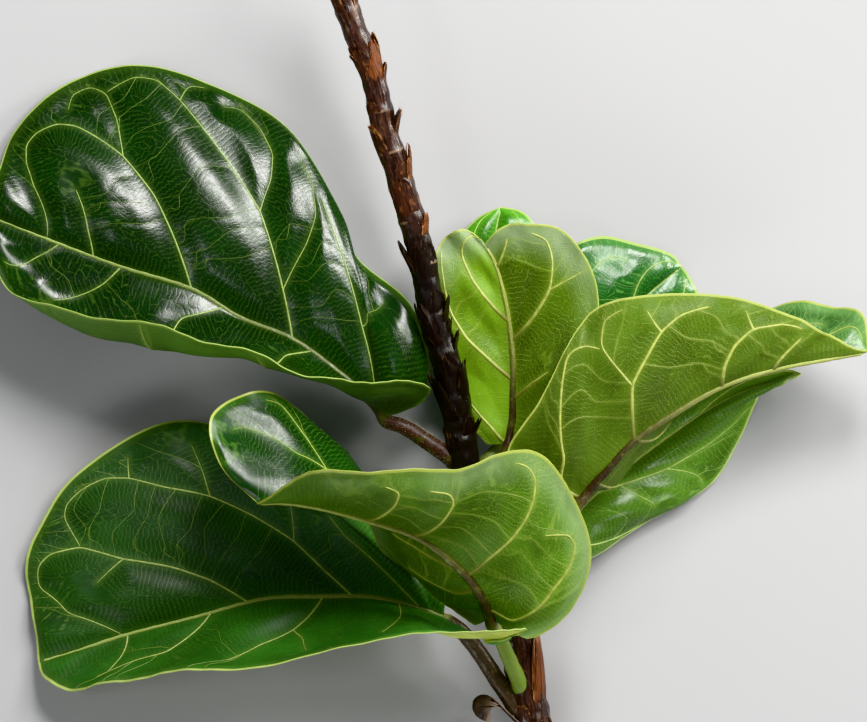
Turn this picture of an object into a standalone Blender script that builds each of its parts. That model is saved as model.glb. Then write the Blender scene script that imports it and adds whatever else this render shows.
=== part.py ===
"""A cut stem of a young fiddle leaf fig with eight leaves, lying on a table.

The table is z = 0. Seen from above, the foot of the stem points to -Y and its bud to +Y. Lengths in the
tables are millimetres.
"""

import math
import random
from collections import namedtuple

import bmesh
import bpy
import numpy as np
from mathutils import Matrix, Vector

MM = 0.001
# What puts the middle of the whole on the origin
CENTRE = (-4.0, -1.0)
SEED = 27

BLADE_THICKNESS = 0.7
VEIN_THICKNESS = 1.6
VEIN_HALF_WIDTH = 1.3
# How far a vein bends back from a straight line between midrib and margin, as a share of its length
SWEEP = 0.06
# The blade swells between its veins, and its margin waves with them
QUILT_HEIGHT = 1.3
WAVE_HEIGHT = 1.1
# The midrib is a round cord that lies mostly under the blade
MIDRIB_SINK = 0.8
MIDRIB_END_RADIUS = 0.6
RIB_SIDES = 6
# It starts at this share of the petiole's radius, and thins by this power of the way to the tip
RIB_SHARE = 0.8
RIB_TAPER = 0.5
# Its points: one at row 0, then this many from the row given to this many rows short of the tip
RIB_POINTS = 8
RIB_FIRST_ROW = 4.0
RIB_SHORT = 0.5
# The blade's outermost cross lines lie this many rows from its foot and its tip
FOOT_LINE = 0.9
TIP_LINE = 0.22
# Swells and waves fade on a half that is narrower than this
FADE_WIDTH = 20.0
# The columns of a half crowd a little towards the margin
COLUMN_POWER = 0.9
# A side vein's relief thins by this share, and ends at this share of the way to the margin
VEIN_TAPER = 0.6
VEIN_END = 0.95
# Cross lines closer than this share of a vein's width are one
LEAST_GAP = 0.35
# Points of a blade that coincide at its tip are merged
MERGE = 0.03
SEAT_GAP = 0.3

# The stem from foot to bud, as x, y, z and radius
STEM = (
    (48.0, -182.5, 4.4, 7.1),
    (46.5, -175.5, 5.9, 7.1),
    (40.0, -144.5, 13.5, 7.0),
    (34.5, -115.5, 18.5, 6.8),
    (28.5, -95.5, 22.0, 6.6),
    (20.5, -71.5, 26.5, 6.4),
    (13.0, -43.5, 31.5, 6.1),
    (10.5, -27.5, 34.0, 6.0),
    (7.5, -9.5, 37.0, 5.8),
    (2.5, 8.5, 40.0, 5.6),
    (-1.5, 24.5, 43.0, 5.4),
    (-4.5, 40.5, 45.5, 5.3),
    (-8.5, 56.5, 48.5, 5.2),
    (-14.0, 74.5, 51.5, 5.1),
    (-19.5, 92.5, 54.5, 5.0),
    (-24.5, 114.5, 58.0, 4.9),
    (-32.5, 134.5, 61.5, 4.8),
    (-35.5, 144.5, 63.0, 4.7),
    (-39.5, 156.5, 65.0, 4.6),
    (-42.0, 163.0, 66.0, 4.8),
    (-45.0, 170.5, 67.5, 3.6),
    (-47.0, 176.5, 69.0, 1.9),
    (-48.0, 180.0, 70.0, 0.7),
)
STEM_SIDES = 8
# Fine points of the axis for each row above, and how far either way its direction is read
PATH_POINTS = 12
PATH_REACH = 4.0
# The tube's own points: at each leaf scar and this far either side, and at steps from the first one
RING_POINT = 3.0
FIRST_POINT = 8.0
POINT_STEP = 18.0
LEAST_STEP = 1.5
FOOT_CUT_ANGLE = math.radians(28)
FOOT_CUT_AT = 6.0
# Leaf scars ring the stem at these distances from its foot
NODES = (45, 66, 89, 98, 111, 134, 142, 159, 176, 194, 211, 232, 250, 264, 279, 296, 318, 338)
RING_HEIGHT = 0.4
RING_HALF_LENGTH = 2.2

Scale = namedtuple("Scale", "foot angle length width flare")
# Stipule scales: distance from the foot, angle round the stem with 0 on top and 90 on its right,
# length, width, and how far the tip stands off the bark
SCALES = (
    Scale(30, -80, 24, 12, 7.5),
    Scale(42, 70, 33, 12, 3.0),
    Scale(27, 0, 14, 9, 2.0),
    Scale(72, 5, 18, 10, 1.4),
    Scale(76, 190, 15, 10, 1.4),
    Scale(163, -75, 25, 11, 4.0),
    Scale(158, 95, 8, 7, 3.4),
    Scale(170, 75, 20, 12, 1.6),
    Scale(193, -50, 24, 11, 1.4),
    Scale(192, 92, 10, 8, 3.4),
    Scale(204, 85, 13, 9, 3.2),
    Scale(220, 20, 22, 10, 1.2),
    Scale(223, -95, 20, 9, 3.4),
    Scale(246, -15, 22, 11, 1.0),
    Scale(262, 95, 18, 9, 3.6),
    Scale(272, -72, 18, 10, 1.3),
    Scale(283, 95, 12, 8, 4.4),
    Scale(307, -40, 18, 9, 2.6),
    Scale(308, 50, 16, 6, 2.2),
    Scale(310, 125, 16, 6, 3.8),
    Scale(330, -75, 24, 10, 1.8),
    Scale(333, 105, 24, 10, 1.2),
)
SCALE_THICKNESS = 0.8
SCALE_ROOT = 1.4
SCALE_LIFT = 0.3
# A scale's cross lines, as shares of its length, and how much narrower it grows to its tip
SCALE_LINES = (0.0, 0.3, 0.6, 0.85)
SCALE_NARROWING = 0.5
# Small shreds of old scales, spread by rule along the bare upper stem
SHRED_REACH = (172, 322)
SHRED_COUNT = 11
# The turn from one to the next, as leaves follow each other round a stem
LEAF_TURN = 137.5

# The blocks that press flats on the table's top and cut the foot
TABLE_BLOCK = (700, 700, 40)
FOOT_BLOCK = (60, 60, 40)

Leaf = namedtuple("Leaf", "rows left_veins right_veins petiole petiole_radius steps")

# Each row of a leaf crosses it: a point of the midrib, then the left margin and the right margin, each with
# the height in the middle of that half, towards the upper side. Left is as seen on the upper side with the
# tip ahead. The rows run from the foot of the blade, where they fan out over its lobes, to the tip.
LEAVES = {
    "leaf_upper_left": Leaf(
        rows=(
            ((-18, -23, 34), (-12.5, -22.5, 36, 0), (-14.5, -22, 32, 0)),
            ((-19.3, -21.6, 34), (-5.5, -17, 43, 0), (-1.5, -4.5, 32, 2)),
            ((-20.7, -20, 34), (-2, -10.5, 50, -3), (-9, 22.4, 34, 4)),
            ((-22.3, -18.2, 33.8), (-12, -7, 57, -5), (-30.6, 41.6, 27, 5)),
            ((-25.5, -15, 33), (-26, -8, 62, -5), (-39, 63.6, 20, 6)),
            ((-37.5, -4.5, 31), (-46, -6.5, 69, -5), (-60.5, 95.4, 10, 6)),
            ((-56.5, 9, 28), (-70, 2.5, 72, -8), (-94, 113, 3, 6)),
            ((-77.5, 17.5, 25), (-93.5, 9.5, 72, -12.5), (-123, 119, 1.8, 6)),
            ((-97, 29, 23), (-117.5, 15.5, 67, -19), (-148.5, 111, 1.4, 6)),
            ((-126, 38, 20), (-145.5, 20.5, 57, -20), (-168, 93, 6, 5)),
            ((-155.5, 49, 17), (-169.5, 28.5, 42, -14), (-175, 75.5, 12, 2)),
            ((-182, 59.5, 15), (-182, 59.5, 15, 0), (-182, 59.5, 15, 0)),
        ),
        left_veins=(4.4, 5.7, 7.3, 9.0),
        right_veins=(4.0, 6.0, 8.0, 9.9),
        petiole=((10, -40.5, 31), (-1.5, -33, 33), (-11.5, -26.5, 34.5)),
        petiole_radius=3.6,
        steps=4,
    ),
    "leaf_lower_left": Leaf(
        rows=(
            ((5.5, -103, 27), (8.5, -106.5, 28, 0), (5.5, -100.5, 27, 0)),
            ((3.8, -102.3, 27), (24, -113, 50, -2), (3, -91, 26, 1)),
            ((2, -101.6, 27), (36.5, -107.5, 64, -7), (-5.5, -77, 20, 3)),
            ((0, -100.8, 26.8), (30, -106.5, 68, -8), (-23.5, -63, 14, 6)),
            ((-3.5, -99.6, 26.4), (14, -106.5, 68, -7.5), (-44, -57.5, 14, 10)),
            ((-12.5, -97, 25), (-10, -108, 65, -4), (-73.5, -31.5, 14, 5)),
            ((-27, -94.5, 24), (-44.5, -116.5, 60, -6), (-107.5, -24.5, 12, 3)),
            ((-46, -94.5, 22), (-83.5, -123, 54, -7), (-143.5, -45.5, 9, 2)),
            ((-68.5, -95.5, 20), (-109.5, -124.5, 46, -5), (-159, -67.5, 6, 3)),
            ((-95, -102.5, 17), (-130, -129, 34, -3), (-164, -83.5, 4, 4)),
            ((-124, -110, 13), (-147, -131.5, 20, -2), (-162, -97.5, 4, 3)),
            ((-145.5, -117, 10), (-156.5, -127, 12, 0), (-160, -109.5, 6, 1)),
            ((-159, -121, 8), (-159, -121, 8, 0), (-159, -121, 8, 0)),
        ),
        left_veins=(5.5, 7.0, 8.8, 10.2),
        right_veins=(4.0, 6.3, 8.2, 10.0),
        petiole=((34, -139.5, 15), (26.5, -129.5, 18), (18, -116.5, 22), (10.5, -107.5, 26)),
        petiole_radius=3.6,
        steps=4,
    ),
    "leaf_front": Leaf(
        rows=(
            ((24, -103, 50), (28, -107, 52, 0), (21, -105, 49, 0)),
            ((23.3, -101.5, 51.5), (38.5, -111, 56, -2), (16, -105.5, 47, 0)),
            ((22.4, -99.7, 53.5), (54, -99.5, 61, -4), (5.5, -97, 37.5, 0)),
            ((21, -96.8, 56.5), (62.5, -80.5, 68, -6), (-4, -89.5, 33, -5)),
            ((18.5, -92, 61), (58.5, -60.5, 75, -7), (-13.5, -81.5, 31, -6)),
            ((14, -85.5, 66), (44.5, -38.5, 86, -8), (-22, -72, 31, -6)),
            ((4.5, -76.5, 71), (26.5, -36.5, 94, -8), (-28.5, -60.5, 33, -5)),
            ((-6.5, -69, 74.5), (7.5, -43, 100, -7), (-33.5, -41.5, 38, -4)),
            ((-23, -63.5, 77), (-19.5, -43, 105, -6), (-46, -25.5, 46, -4)),
            ((-41.5, -58.5, 78), (-44.5, -43.5, 102, -5), (-68.5, -12, 56, -4)),
            ((-56.5, -56, 76), (-58, -49, 90, -3), (-88, -21.5, 66, -3)),
            ((-65.5, -56, 75), (-66, -54, 80, -1), (-84.5, -42, 73, -1)),
            ((-70, -56.5, 74), (-70, -56.5, 74, 0), (-70, -56.5, 74, 0)),
        ),
        left_veins=(2.6, 5.0, 7.0, 8.7),
        right_veins=(3.0, 5.2, 6.8, 8.4, 9.8),
        petiole=((36, -131.5, 18), (32.5, -124.5, 26), (29, -116.5, 33), (26, -109.5, 40)),
        petiole_radius=3.3,
        steps=4,
    ),
    "leaf_back_upright": Leaf(
        rows=(
            ((30, -34, 22), (33, -36.5, 23, 0), (26.5, -36.5, 21, 0)),
            ((30.4, -32, 22), (41, -33, 26, -1), (21, -32.5, 20, -1)),
            ((31, -29, 22), (52.5, -20.5, 30, -3), (14, -23, 20, -2)),
            ((32, -23, 22), (62, -1.5, 33, -4), (6, -7, 21, -3)),
            ((32, -12.5, 23), (66, 19.5, 35, -4), (0, 12.5, 23, -3)),
            ((32, 1.5, 24), (62, 39.5, 36, -4), (-1.5, 29, 26, -3)),
            ((30.5, 14.5, 25.5), (50.5, 52.5, 35, -3), (1.5, 44.5, 28, -3)),
            ((28, 28.5, 27.5), (36, 55, 34, -2), (8.5, 52, 30, -2)),
            ((24.5, 39.5, 29), (26.5, 53, 33, -1), (15.5, 51.5, 31, -1)),
            ((20.5, 46.5, 30), (20.5, 46.5, 30, 0), (20.5, 46.5, 30, 0)),
        ),
        left_veins=(2.2, 4.0, 5.6, 7.2),
        right_veins=(1.8, 4.4, 6.1, 7.4),
        petiole=((20.5, -69, 24), (25, -55.5, 19), (28, -43.5, 20)),
        petiole_radius=2.6,
        steps=4,
    ),
    "leaf_right": Leaf(
        rows=(
            ((58, -55, 50), (61, -57, 49, 0), (54, -59, 51, 0)),
            ((59.2, -53.6, 50.1), (49, -54, 41, -4), (38.5, -52.5, 55, -1)),
            ((60.5, -52.1, 50.3), (46, -45.5, 33, -8), (29.5, -36.5, 59, -3)),
            ((62, -50.3, 50.8), (51.5, -35.5, 26, -13), (42.5, -15, 63, -5)),
            ((64, -48, 51.5), (62, -25.5, 21, -16), (56.5, 11.5, 66, -6)),
            ((69, -43, 53), (74, -15.5, 19, -17), (69, 23, 67, -6)),
            ((80, -31, 55), (92, 0.5, 20, -14), (90.5, 26.5, 67, -6)),
            ((98, -19, 56), (115.5, 14.5, 24, -10), (121, 25, 64, -5)),
            ((116, -9, 56), (140.5, 23, 33, -8), (142.5, 18, 61, -4)),
            ((137, -2.5, 54), (160, 22, 42, -7), (156.5, 11, 56, -2)),
            ((156, 1, 52), (171.5, 18, 47, -4), (166, 6, 53, -1)),
            ((173.5, 4, 50), (173.5, 4, 50, 0), (173.5, 4, 50, 0)),
        ),
        left_veins=(4.0, 6.0, 8.0, 9.3),
        right_veins=(4.0, 6.0, 8.0, 9.0),
        petiole=((26.5, -82.5, 26), (40.5, -71.5, 36), (50.5, -63, 45)),
        petiole_radius=3.2,
        steps=4,
    ),
    "leaf_lower_right": Leaf(
        rows=(
            ((51.5, -67, 20), (48.5, -65, 20, 0), (52, -69.5, 20, 0)),
            ((53, -65.4, 19.8), (46, -59, 19, 1), (62.5, -79.5, 12, 2)),
            ((54.6, -63.6, 19.5), (50.5, -49.5, 16, 2), (86.5, -64.5, 6, 3)),
            ((57, -61, 19), (60.5, -40.5, 12, 2), (111.5, -49.5, 2, 3)),
            ((61.5, -56.6, 17.8), (72.5, -31.5, 9, 2), (123.5, -31.5, 1.3, 3)),
            ((71.5, -47.5, 15), (86.5, -23, 7.5, 2), (128.5, -18.5, 1.5, 3)),
            ((88.5, -34.5, 12), (102.5, -14, 6.5, 2), (133, -12, 4, 3)),
            ((106.5, -22, 9.5), (118, -8, 6.5, 1), (137, -11, 8, 2)),
            ((123.5, -13, 8.5), (132, -5, 8, 1), (141, -9, 12, 1)),
            ((138, -8, 10), (142, -3.5, 11, 0), (145, -6.5, 15, 0)),
            ((147.5, -5, 14), (147.5, -5, 14, 0), (147.5, -5, 14, 0)),
        ),
        left_veins=(3.0, 5.0, 7.0),
        right_veins=(2.0, 4.4, 6.5, 8.2),
        petiole=((29, -89.5, 21), (38.5, -79.5, 20.5), (46, -73, 20)),
        petiole_radius=3.0,
        steps=4,
    ),
    "leaf_back_right": Leaf(
        rows=(
            ((34.5, -27.5, 12), (33.5, -25, 12, 0), (38, -29, 12, 0)),
            ((36.2, -25.9, 12), (31.5, -15.5, 13, 1), (46, -30, 11, 1)),
            ((38.5, -23.5, 12), (34.5, 0.5, 14, 2), (58.5, -25.5, 9, 2)),
            ((44.5, -17, 11.5), (42, 24.5, 14, 4), (71.5, -16.5, 7, 3)),
            ((55.5, -4.5, 11), (52.5, 43.5, 13, 4), (86, -4.5, 5, 3)),
            ((67.5, 8.5, 10), (66.5, 50, 11, 4), (98.5, 9, 3, 3)),
            ((79.5, 20.5, 9), (82.5, 47, 9, 3), (106, 23.5, -0.3, 2)),
            ((90.5, 30.5, 7), (95.5, 43, 6, 2), (103.5, 33, 2, 1)),
            ((100, 38, 5), (100, 38, 5, 0), (100, 38, 5, 0)),
        ),
        left_veins=(2.6, 4.2, 6.0),
        right_veins=(2.2, 4.0, 5.7),
        petiole=((15, -47, 28), (20.5, -40.5, 17), (27.5, -33.5, 13)),
        petiole_radius=2.6,
        steps=3,
    ),
    "leaf_back_top": Leaf(
        rows=(
            ((14.5, 4.5, 9), (12, 4.5, 9, 0), (18, 4.5, 9, 0)),
            ((15, 6.5, 9), (6.5, 6.5, 8, 1), (26.5, 7, 9, 1)),
            ((16, 11, 9), (1, 15.5, 7, 2), (36, 15.5, 9, 2)),
            ((18, 21, 8.5), (-2, 29, 6, 3), (42.5, 29, 8.5, 3)),
            ((20.5, 33, 8), (0.5, 42, 5.5, 3), (44.5, 42, 8, 3)),
            ((23, 44.5, 7.5), (12, 52, 5, 2), (42, 52.5, 7, 2)),
            ((25.5, 54.5, 6.5), (19, 58.5, 5, 1), (35.5, 60, 6, 1)),
            ((27, 62, 5), (27, 62, 5, 0), (27, 62, 5, 0)),
        ),
        left_veins=(2.5, 4.5),
        right_veins=(3.0, 5.0),
        petiole=((9.5, -23.5, 31.5), (6.5, -15.5, 19), (8.5, -5.5, 12)),
        petiole_radius=2.4,
        steps=3,
    ),
}

# Colour, roughness
LOOKS = {
    "stem": ((0.10, 0.055, 0.035), 0.85),
    "leaf_upper_left": ((0.03, 0.11, 0.025), 0.35),
    "leaf_lower_left": ((0.04, 0.14, 0.025), 0.4),
    "leaf_front": ((0.16, 0.30, 0.06), 0.5),
    "leaf_back_upright": ((0.24, 0.42, 0.07), 0.5),
    "leaf_right": ((0.18, 0.34, 0.07), 0.5),
    "leaf_lower_right": ((0.08, 0.24, 0.04), 0.4),
    "leaf_back_right": ((0.06, 0.20, 0.05), 0.35),
    "leaf_back_top": ((0.08, 0.24, 0.05), 0.4),
}


def spline(rows, t):
    """The smooth curve through rows, at t rows from the first."""
    rows = np.asarray(rows, float)
    last = len(rows) - 1
    t = min(max(t, 0.0), last)
    i = min(int(t), last - 1)
    f = t - i
    before = rows[i - 1] if i > 0 else 2 * rows[i] - rows[i + 1]
    after = rows[i + 2] if i + 2 <= last else 2 * rows[i + 1] - rows[i]
    slope_in = (rows[i + 1] - before) / 2
    slope_out = (after - rows[i]) / 2
    return (
        (2 * f**3 - 3 * f**2 + 1) * rows[i]
        + (f**3 - 2 * f**2 + f) * slope_in
        + (3 * f**2 - 2 * f**3) * rows[i + 1]
        + (f**3 - f**2) * slope_out
    )


def unit(v):
    return v / max(np.linalg.norm(v), 1e-9)


def vein_count(veins, last, t):
    """How many side veins lie below t, with the part of the way to the next."""
    marks = (0.0, *veins, last)
    return float(np.interp(t, marks, range(len(marks))))


class Blade:
    """The surface of a leaf's blade, without its thickness, in millimetres."""

    def __init__(self, leaf):
        self.rows = np.array([(*mid, *left, *right) for mid, left, right in leaf.rows], float)
        self.last = len(leaf.rows) - 1
        self.veins = {-1: leaf.left_veins, 1: leaf.right_veins}

    def midrib(self, t):
        return spline(self.rows, t)[:3]

    def ahead(self, t):
        return unit(self.midrib(t + 2) - self.midrib(t - 1))

    def half(self, t, side):
        """Midrib point, margin point, bow and upper normal of one half: side -1 is left, 1 is right."""
        row = spline(self.rows, t)
        margin, bow = (row[3:6], row[6]) if side < 0 else (row[7:10], row[10])
        normal = unit(np.cross(self.ahead(t), margin - row[:3])) * -side
        return row[:3], margin, bow, normal

    def point(self, t, side, w):
        """The point at w from midrib (0) to margin (1) on the cross line t."""
        mid, margin, bow, normal = self.half(t, side)
        chord = margin - mid
        arch = 4 * w * (1 - w)
        count = vein_count(self.veins[side], self.last, t)
        swell = QUILT_HEIGHT * math.sin(math.pi * count) ** 2 * arch
        wave = WAVE_HEIGHT * w**3 * math.sin(2 * math.pi * count)
        fade = min(1.0, np.linalg.norm(chord) / FADE_WIDTH)
        back = -SWEEP * arch * np.linalg.norm(chord) * self.ahead(t)
        return mid + w * chord + back + (bow * arch + (swell + wave) * fade) * normal

    def normal(self, t):
        """The upper normal at the midrib."""
        return unit(self.half(t, -1)[3] + self.half(t, 1)[3])


def cross_lines(blade):
    """Where to cross the blade: at each side vein, close beside it, and midway to the next."""
    length = np.linalg.norm(np.diff(blade.rows[:, 3:6], axis=0), axis=1).mean()
    beside = 2 * VEIN_HALF_WIDTH / length
    end = blade.last - TIP_LINE
    found = [FOOT_LINE, end]
    for veins in blade.veins.values():
        marks = (FOOT_LINE, *veins, end)
        for mark in veins:
            found += [mark - beside, mark, mark + beside]
        found += [(a + b) / 2 for a, b in zip(marks, marks[1:])]
    kept = []
    for t in sorted(found):
        if not kept or t - kept[-1] > beside * LEAST_GAP:
            kept.append(t)
    return kept


def blade_object(name, leaf):
    """The blade as an open surface that Solidify thickens on its underside, more along its veins."""
    blade = Blade(leaf)
    bm = bmesh.new()
    weights = bm.verts.layers.deform.verify()
    lines = cross_lines(blade)
    columns = [(i / leaf.steps) ** COLUMN_POWER for i in range(leaf.steps + 1)]
    grid = []
    for t in lines:
        line = []
        for side, w in [(-1, w) for w in reversed(columns[1:])] + [(1, w) for w in columns]:
            vert = bm.verts.new(Vector(blade.point(t, side, w)) * MM)
            thickness = BLADE_THICKNESS
            if w < VEIN_END and any(math.isclose(t, mark) for mark in blade.veins[side]):
                thickness += (VEIN_THICKNESS - BLADE_THICKNESS) * (1 - VEIN_TAPER * w)
            vert[weights][0] = thickness / VEIN_THICKNESS
            line.append(vert)
        grid.append(line)
    for a, b in zip(grid, grid[1:]):
        for i in range(len(a) - 1):
            bm.faces.new((a[i], a[i + 1], b[i + 1], b[i]))
    bmesh.ops.remove_doubles(bm, verts=bm.verts, dist=MERGE * MM)
    bmesh.ops.triangulate(bm, faces=bm.faces)
    mesh = bpy.data.meshes.new(name)
    bm.to_mesh(mesh)
    bm.free()
    obj = bpy.data.objects.new(name, mesh)
    obj.vertex_groups.new(name="thickness")
    solid = obj.modifiers.new("Thickness", "SOLIDIFY")
    solid.thickness = VEIN_THICKNESS * MM
    solid.offset = -1
    solid.vertex_group = "thickness"
    return obj


def tube(name, points, sides):
    """A round cord through (x, y, z, radius) points in millimetres, with closed ends."""
    data = bpy.data.curves.new(name, "CURVE")
    data.dimensions = "3D"
    data.bevel_depth = MM
    data.bevel_resolution = (sides - 4) // 2
    data.use_fill_caps = True
    line = data.splines.new("POLY")
    line.points.add(len(points) - 1)
    for point, (x, y, z, radius) in zip(line.points, points):
        point.co = (x * MM, y * MM, z * MM, 1)
        point.radius = radius
    curve = bpy.data.objects.new(name, data)
    bpy.context.scene.collection.objects.link(curve)
    bpy.context.view_layer.update()
    mesh = bpy.data.meshes.new_from_object(curve)
    bpy.data.objects.remove(curve)
    bm = bmesh.new()
    bm.from_mesh(mesh)
    bmesh.ops.remove_doubles(bm, verts=bm.verts, dist=0.01 * MM)
    bmesh.ops.recalc_face_normals(bm, faces=bm.faces)
    bm.to_mesh(mesh)
    bm.free()
    return bpy.data.objects.new(name, mesh)


def rib_points(leaf):
    """The petiole and, going on from it, the midrib under the blade, as tube points."""
    blade = Blade(leaf)
    first = RIB_SHARE * leaf.petiole_radius
    radii = np.linspace(leaf.petiole_radius, first, len(leaf.petiole) + 1)
    points = [(*place, radius) for place, radius in zip(leaf.petiole, radii)]
    for t in (0.0, *np.linspace(RIB_FIRST_ROW, blade.last - RIB_SHORT, RIB_POINTS)):
        radius = first + (MIDRIB_END_RADIUS - first) * (t / blade.last) ** RIB_TAPER
        place = blade.midrib(t) - blade.normal(t) * radius * MIDRIB_SINK
        points.append((*place, radius))
    return points


def ringed(distance, radius):
    """The stem's radius with the leaf scars' rings on it."""
    ring = sum(math.exp(-(((distance - node) / RING_HALF_LENGTH) ** 2)) for node in NODES)
    return radius + RING_HEIGHT * min(ring, 1.0)


class StemPath:
    """The stem's axis by distance from its foot, in millimetres."""

    def __init__(self):
        steps = np.linspace(0, len(STEM) - 1, PATH_POINTS * len(STEM))
        self.line = np.array([spline(STEM, t) for t in steps])
        gaps = np.linalg.norm(np.diff(self.line[:, :3], axis=0), axis=1)
        self.distance = np.concatenate([[0], np.cumsum(gaps)])
        self.length = self.distance[-1]

    def at(self, distance):
        return np.array([np.interp(distance, self.distance, self.line[:, k]) for k in range(4)])

    def along(self, distance):
        return unit(self.at(distance + PATH_REACH)[:3] - self.at(distance - PATH_REACH)[:3])

    def outward(self, distance, angle):
        """The direction off the axis at an angle in degrees, 0 on top and 90 on the right."""
        along = self.along(distance)
        right = unit(np.cross(along, (0, 0, 1)))
        up = np.cross(right, along)
        turn = math.radians(angle)
        return math.cos(turn) * up + math.sin(turn) * right


def stem_points(path, wider=0.0):
    """The stem's tube points, or those of a tube that much wider."""
    marks = {0.0, path.length, *np.arange(FIRST_POINT, path.length, POINT_STEP)}
    for node in NODES:
        marks |= {node - RING_POINT, float(node), node + RING_POINT}
    kept = []
    for mark in sorted(marks):
        if not kept or mark - kept[-1] > LEAST_STEP:
            kept.append(mark)
    points = []
    for mark in kept:
        x, y, z, radius = path.at(mark)
        points.append((x, y, z, ringed(mark, radius) + wider))
    return points


def scale_object(path, scale):
    """One stipule scale: a pointed, hollowed blade that hugs the stem from a sunk root."""
    bm = bmesh.new()

    def vert(u, turn):
        distance = scale.foot + u * scale.length
        *place, radius = path.at(distance)
        lift = SCALE_LIFT - SCALE_ROOT * (1 - u) ** 3 + scale.flare * u**2
        half_angle = math.degrees(scale.width / 2 / radius) * (1 - SCALE_NARROWING * u**1.5)
        out = path.outward(distance, scale.angle + turn * half_angle)
        return bm.verts.new(Vector(np.array(place) + out * (radius + lift)) * MM)

    grid = [[vert(u, turn) for turn in (-1, 0, 1)] for u in SCALE_LINES]
    tip = vert(1, 0)
    for a, b in zip(grid, grid[1:]):
        for i in range(len(a) - 1):
            bm.faces.new((a[i], a[i + 1], b[i + 1], b[i]))
    for a, b in zip(grid[-1], grid[-1][1:]):
        bm.faces.new((a, b, tip))
    bmesh.ops.triangulate(bm, faces=bm.faces)
    bmesh.ops.recalc_face_normals(bm, faces=bm.faces)
    mesh = bpy.data.meshes.new("scale")
    bm.to_mesh(mesh)
    bm.free()
    obj = bpy.data.objects.new("scale", mesh)
    solid = obj.modifiers.new("Thickness", "SOLIDIFY")
    solid.thickness = SCALE_THICKNESS * MM
    solid.offset = 0
    return obj


def shreds():
    """Stubs of old scales, at seeded places on the upper stem."""
    draw = random.Random(SEED)
    low, high = SHRED_REACH
    for i in range(SHRED_COUNT):
        yield Scale(
            foot=low + (high - low) * (i + draw.uniform(0.2, 0.8)) / SHRED_COUNT,
            angle=LEAF_TURN * i + draw.uniform(-25, 25),
            length=draw.uniform(6, 11),
            width=draw.uniform(5, 8),
            flare=draw.uniform(0.6, 2.2),
        )


def block(name, size, matrix=Matrix()):
    """A block that hangs below the z = 0 plane of the matrix."""
    bm = bmesh.new()
    bmesh.ops.create_cube(bm, size=1.0)
    bmesh.ops.translate(bm, vec=(0, 0, -0.5), verts=bm.verts)
    bmesh.ops.scale(bm, vec=Vector(size) * MM, verts=bm.verts)
    bmesh.ops.transform(bm, matrix=matrix, verts=bm.verts)
    mesh = bpy.data.meshes.new(name)
    bm.to_mesh(mesh)
    bm.free()
    return bpy.data.objects.new(name, mesh)


def settled(obj):
    """The object with its modifiers applied."""
    bpy.context.view_layer.update()
    graph = bpy.context.evaluated_depsgraph_get()
    mesh = bpy.data.meshes.new_from_object(obj.evaluated_get(graph))
    obj.modifiers.clear()
    obj.data = mesh
    return obj


def combine(obj, others, operation):
    """One Boolean of the object with a collection of others, applied, the others then removed."""
    group = bpy.data.collections.new("operands")
    bpy.context.scene.collection.children.link(group)
    for other in others:
        group.objects.link(other)
    bpy.context.view_layer.update()
    for other in others:
        if other.modifiers:
            settled(other)
    join = obj.modifiers.new("Join", "BOOLEAN")
    join.operation = operation
    join.solver = "EXACT"
    join.operand_type = "COLLECTION"
    join.collection = group
    join.use_self = operation == "UNION"
    settled(obj)
    for other in others:
        bpy.data.objects.remove(other)
    bpy.data.collections.remove(group)
    return obj


def material(name):
    colour, roughness = LOOKS[name]
    made = bpy.data.materials.new(name)
    made.use_nodes = True
    shader = made.node_tree.nodes["Principled BSDF"]
    shader.inputs["Base Color"].default_value = (*colour, 1)
    shader.inputs["Roughness"].default_value = roughness
    shader.inputs["Metallic"].default_value = 0
    return made


def table():
    """What lies below the table top, which presses small flats into the lowest places."""
    return block("table", TABLE_BLOCK)


def foot_cutter(path):
    """A block whose top is the slanting cut through the stem's foot."""
    along = Vector(path.along(FOOT_CUT_AT)).to_track_quat("Z", "Y").to_matrix().to_4x4()
    place = Matrix.Translation(Vector(path.at(FOOT_CUT_AT)[:3]) * MM)
    return block("foot cut", FOOT_BLOCK, place @ Matrix.Rotation(FOOT_CUT_ANGLE, 4, "X") @ along)


def make_stem(path, home):
    obj = tube("stem", stem_points(path), STEM_SIDES)
    home.objects.link(obj)
    scales = [scale_object(path, scale) for scale in (*SCALES, *shreds())]
    combine(obj, scales, "UNION")
    combine(obj, [foot_cutter(path), table()], "DIFFERENCE")
    return obj


def make_leaf(name, leaf, path, home):
    obj = blade_object(name, leaf)
    home.objects.link(obj)
    settled(obj)
    combine(obj, [tube("rib", rib_points(leaf), RIB_SIDES)], "UNION")
    seat = tube("seat", stem_points(path, SEAT_GAP), STEM_SIDES)
    combine(obj, [seat, table()], "DIFFERENCE")
    return obj


def main():
    for old in list(bpy.data.objects):
        bpy.data.objects.remove(old)
    home = bpy.data.collections.new("Fiddle leaf fig stem")
    bpy.context.scene.collection.children.link(home)
    path = StemPath()
    made = [make_stem(path, home)]
    made += [make_leaf(name, leaf, path, home) for name, leaf in LEAVES.items()]
    for obj in made:
        obj.data.materials.clear()
        obj.data.materials.append(material(obj.name))
        obj.location = (-CENTRE[0] * MM, -CENTRE[1] * MM, 0)


main()
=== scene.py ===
"""The looks of a cut fiddle leaf fig stem: leaves with their vein net, bark and scales, light and camera.

Lengths are millimetres in the plan, the frame of the tables below, and HOME is where the plan's origin lies
in the frame. The stem lies on z = 0 with its foot to -Y and its bud to +Y, as seen from above.
"""

import math
import random
from collections import namedtuple

import bpy
import numpy as np
from mathutils import Matrix, Vector, kdtree, noise


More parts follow.
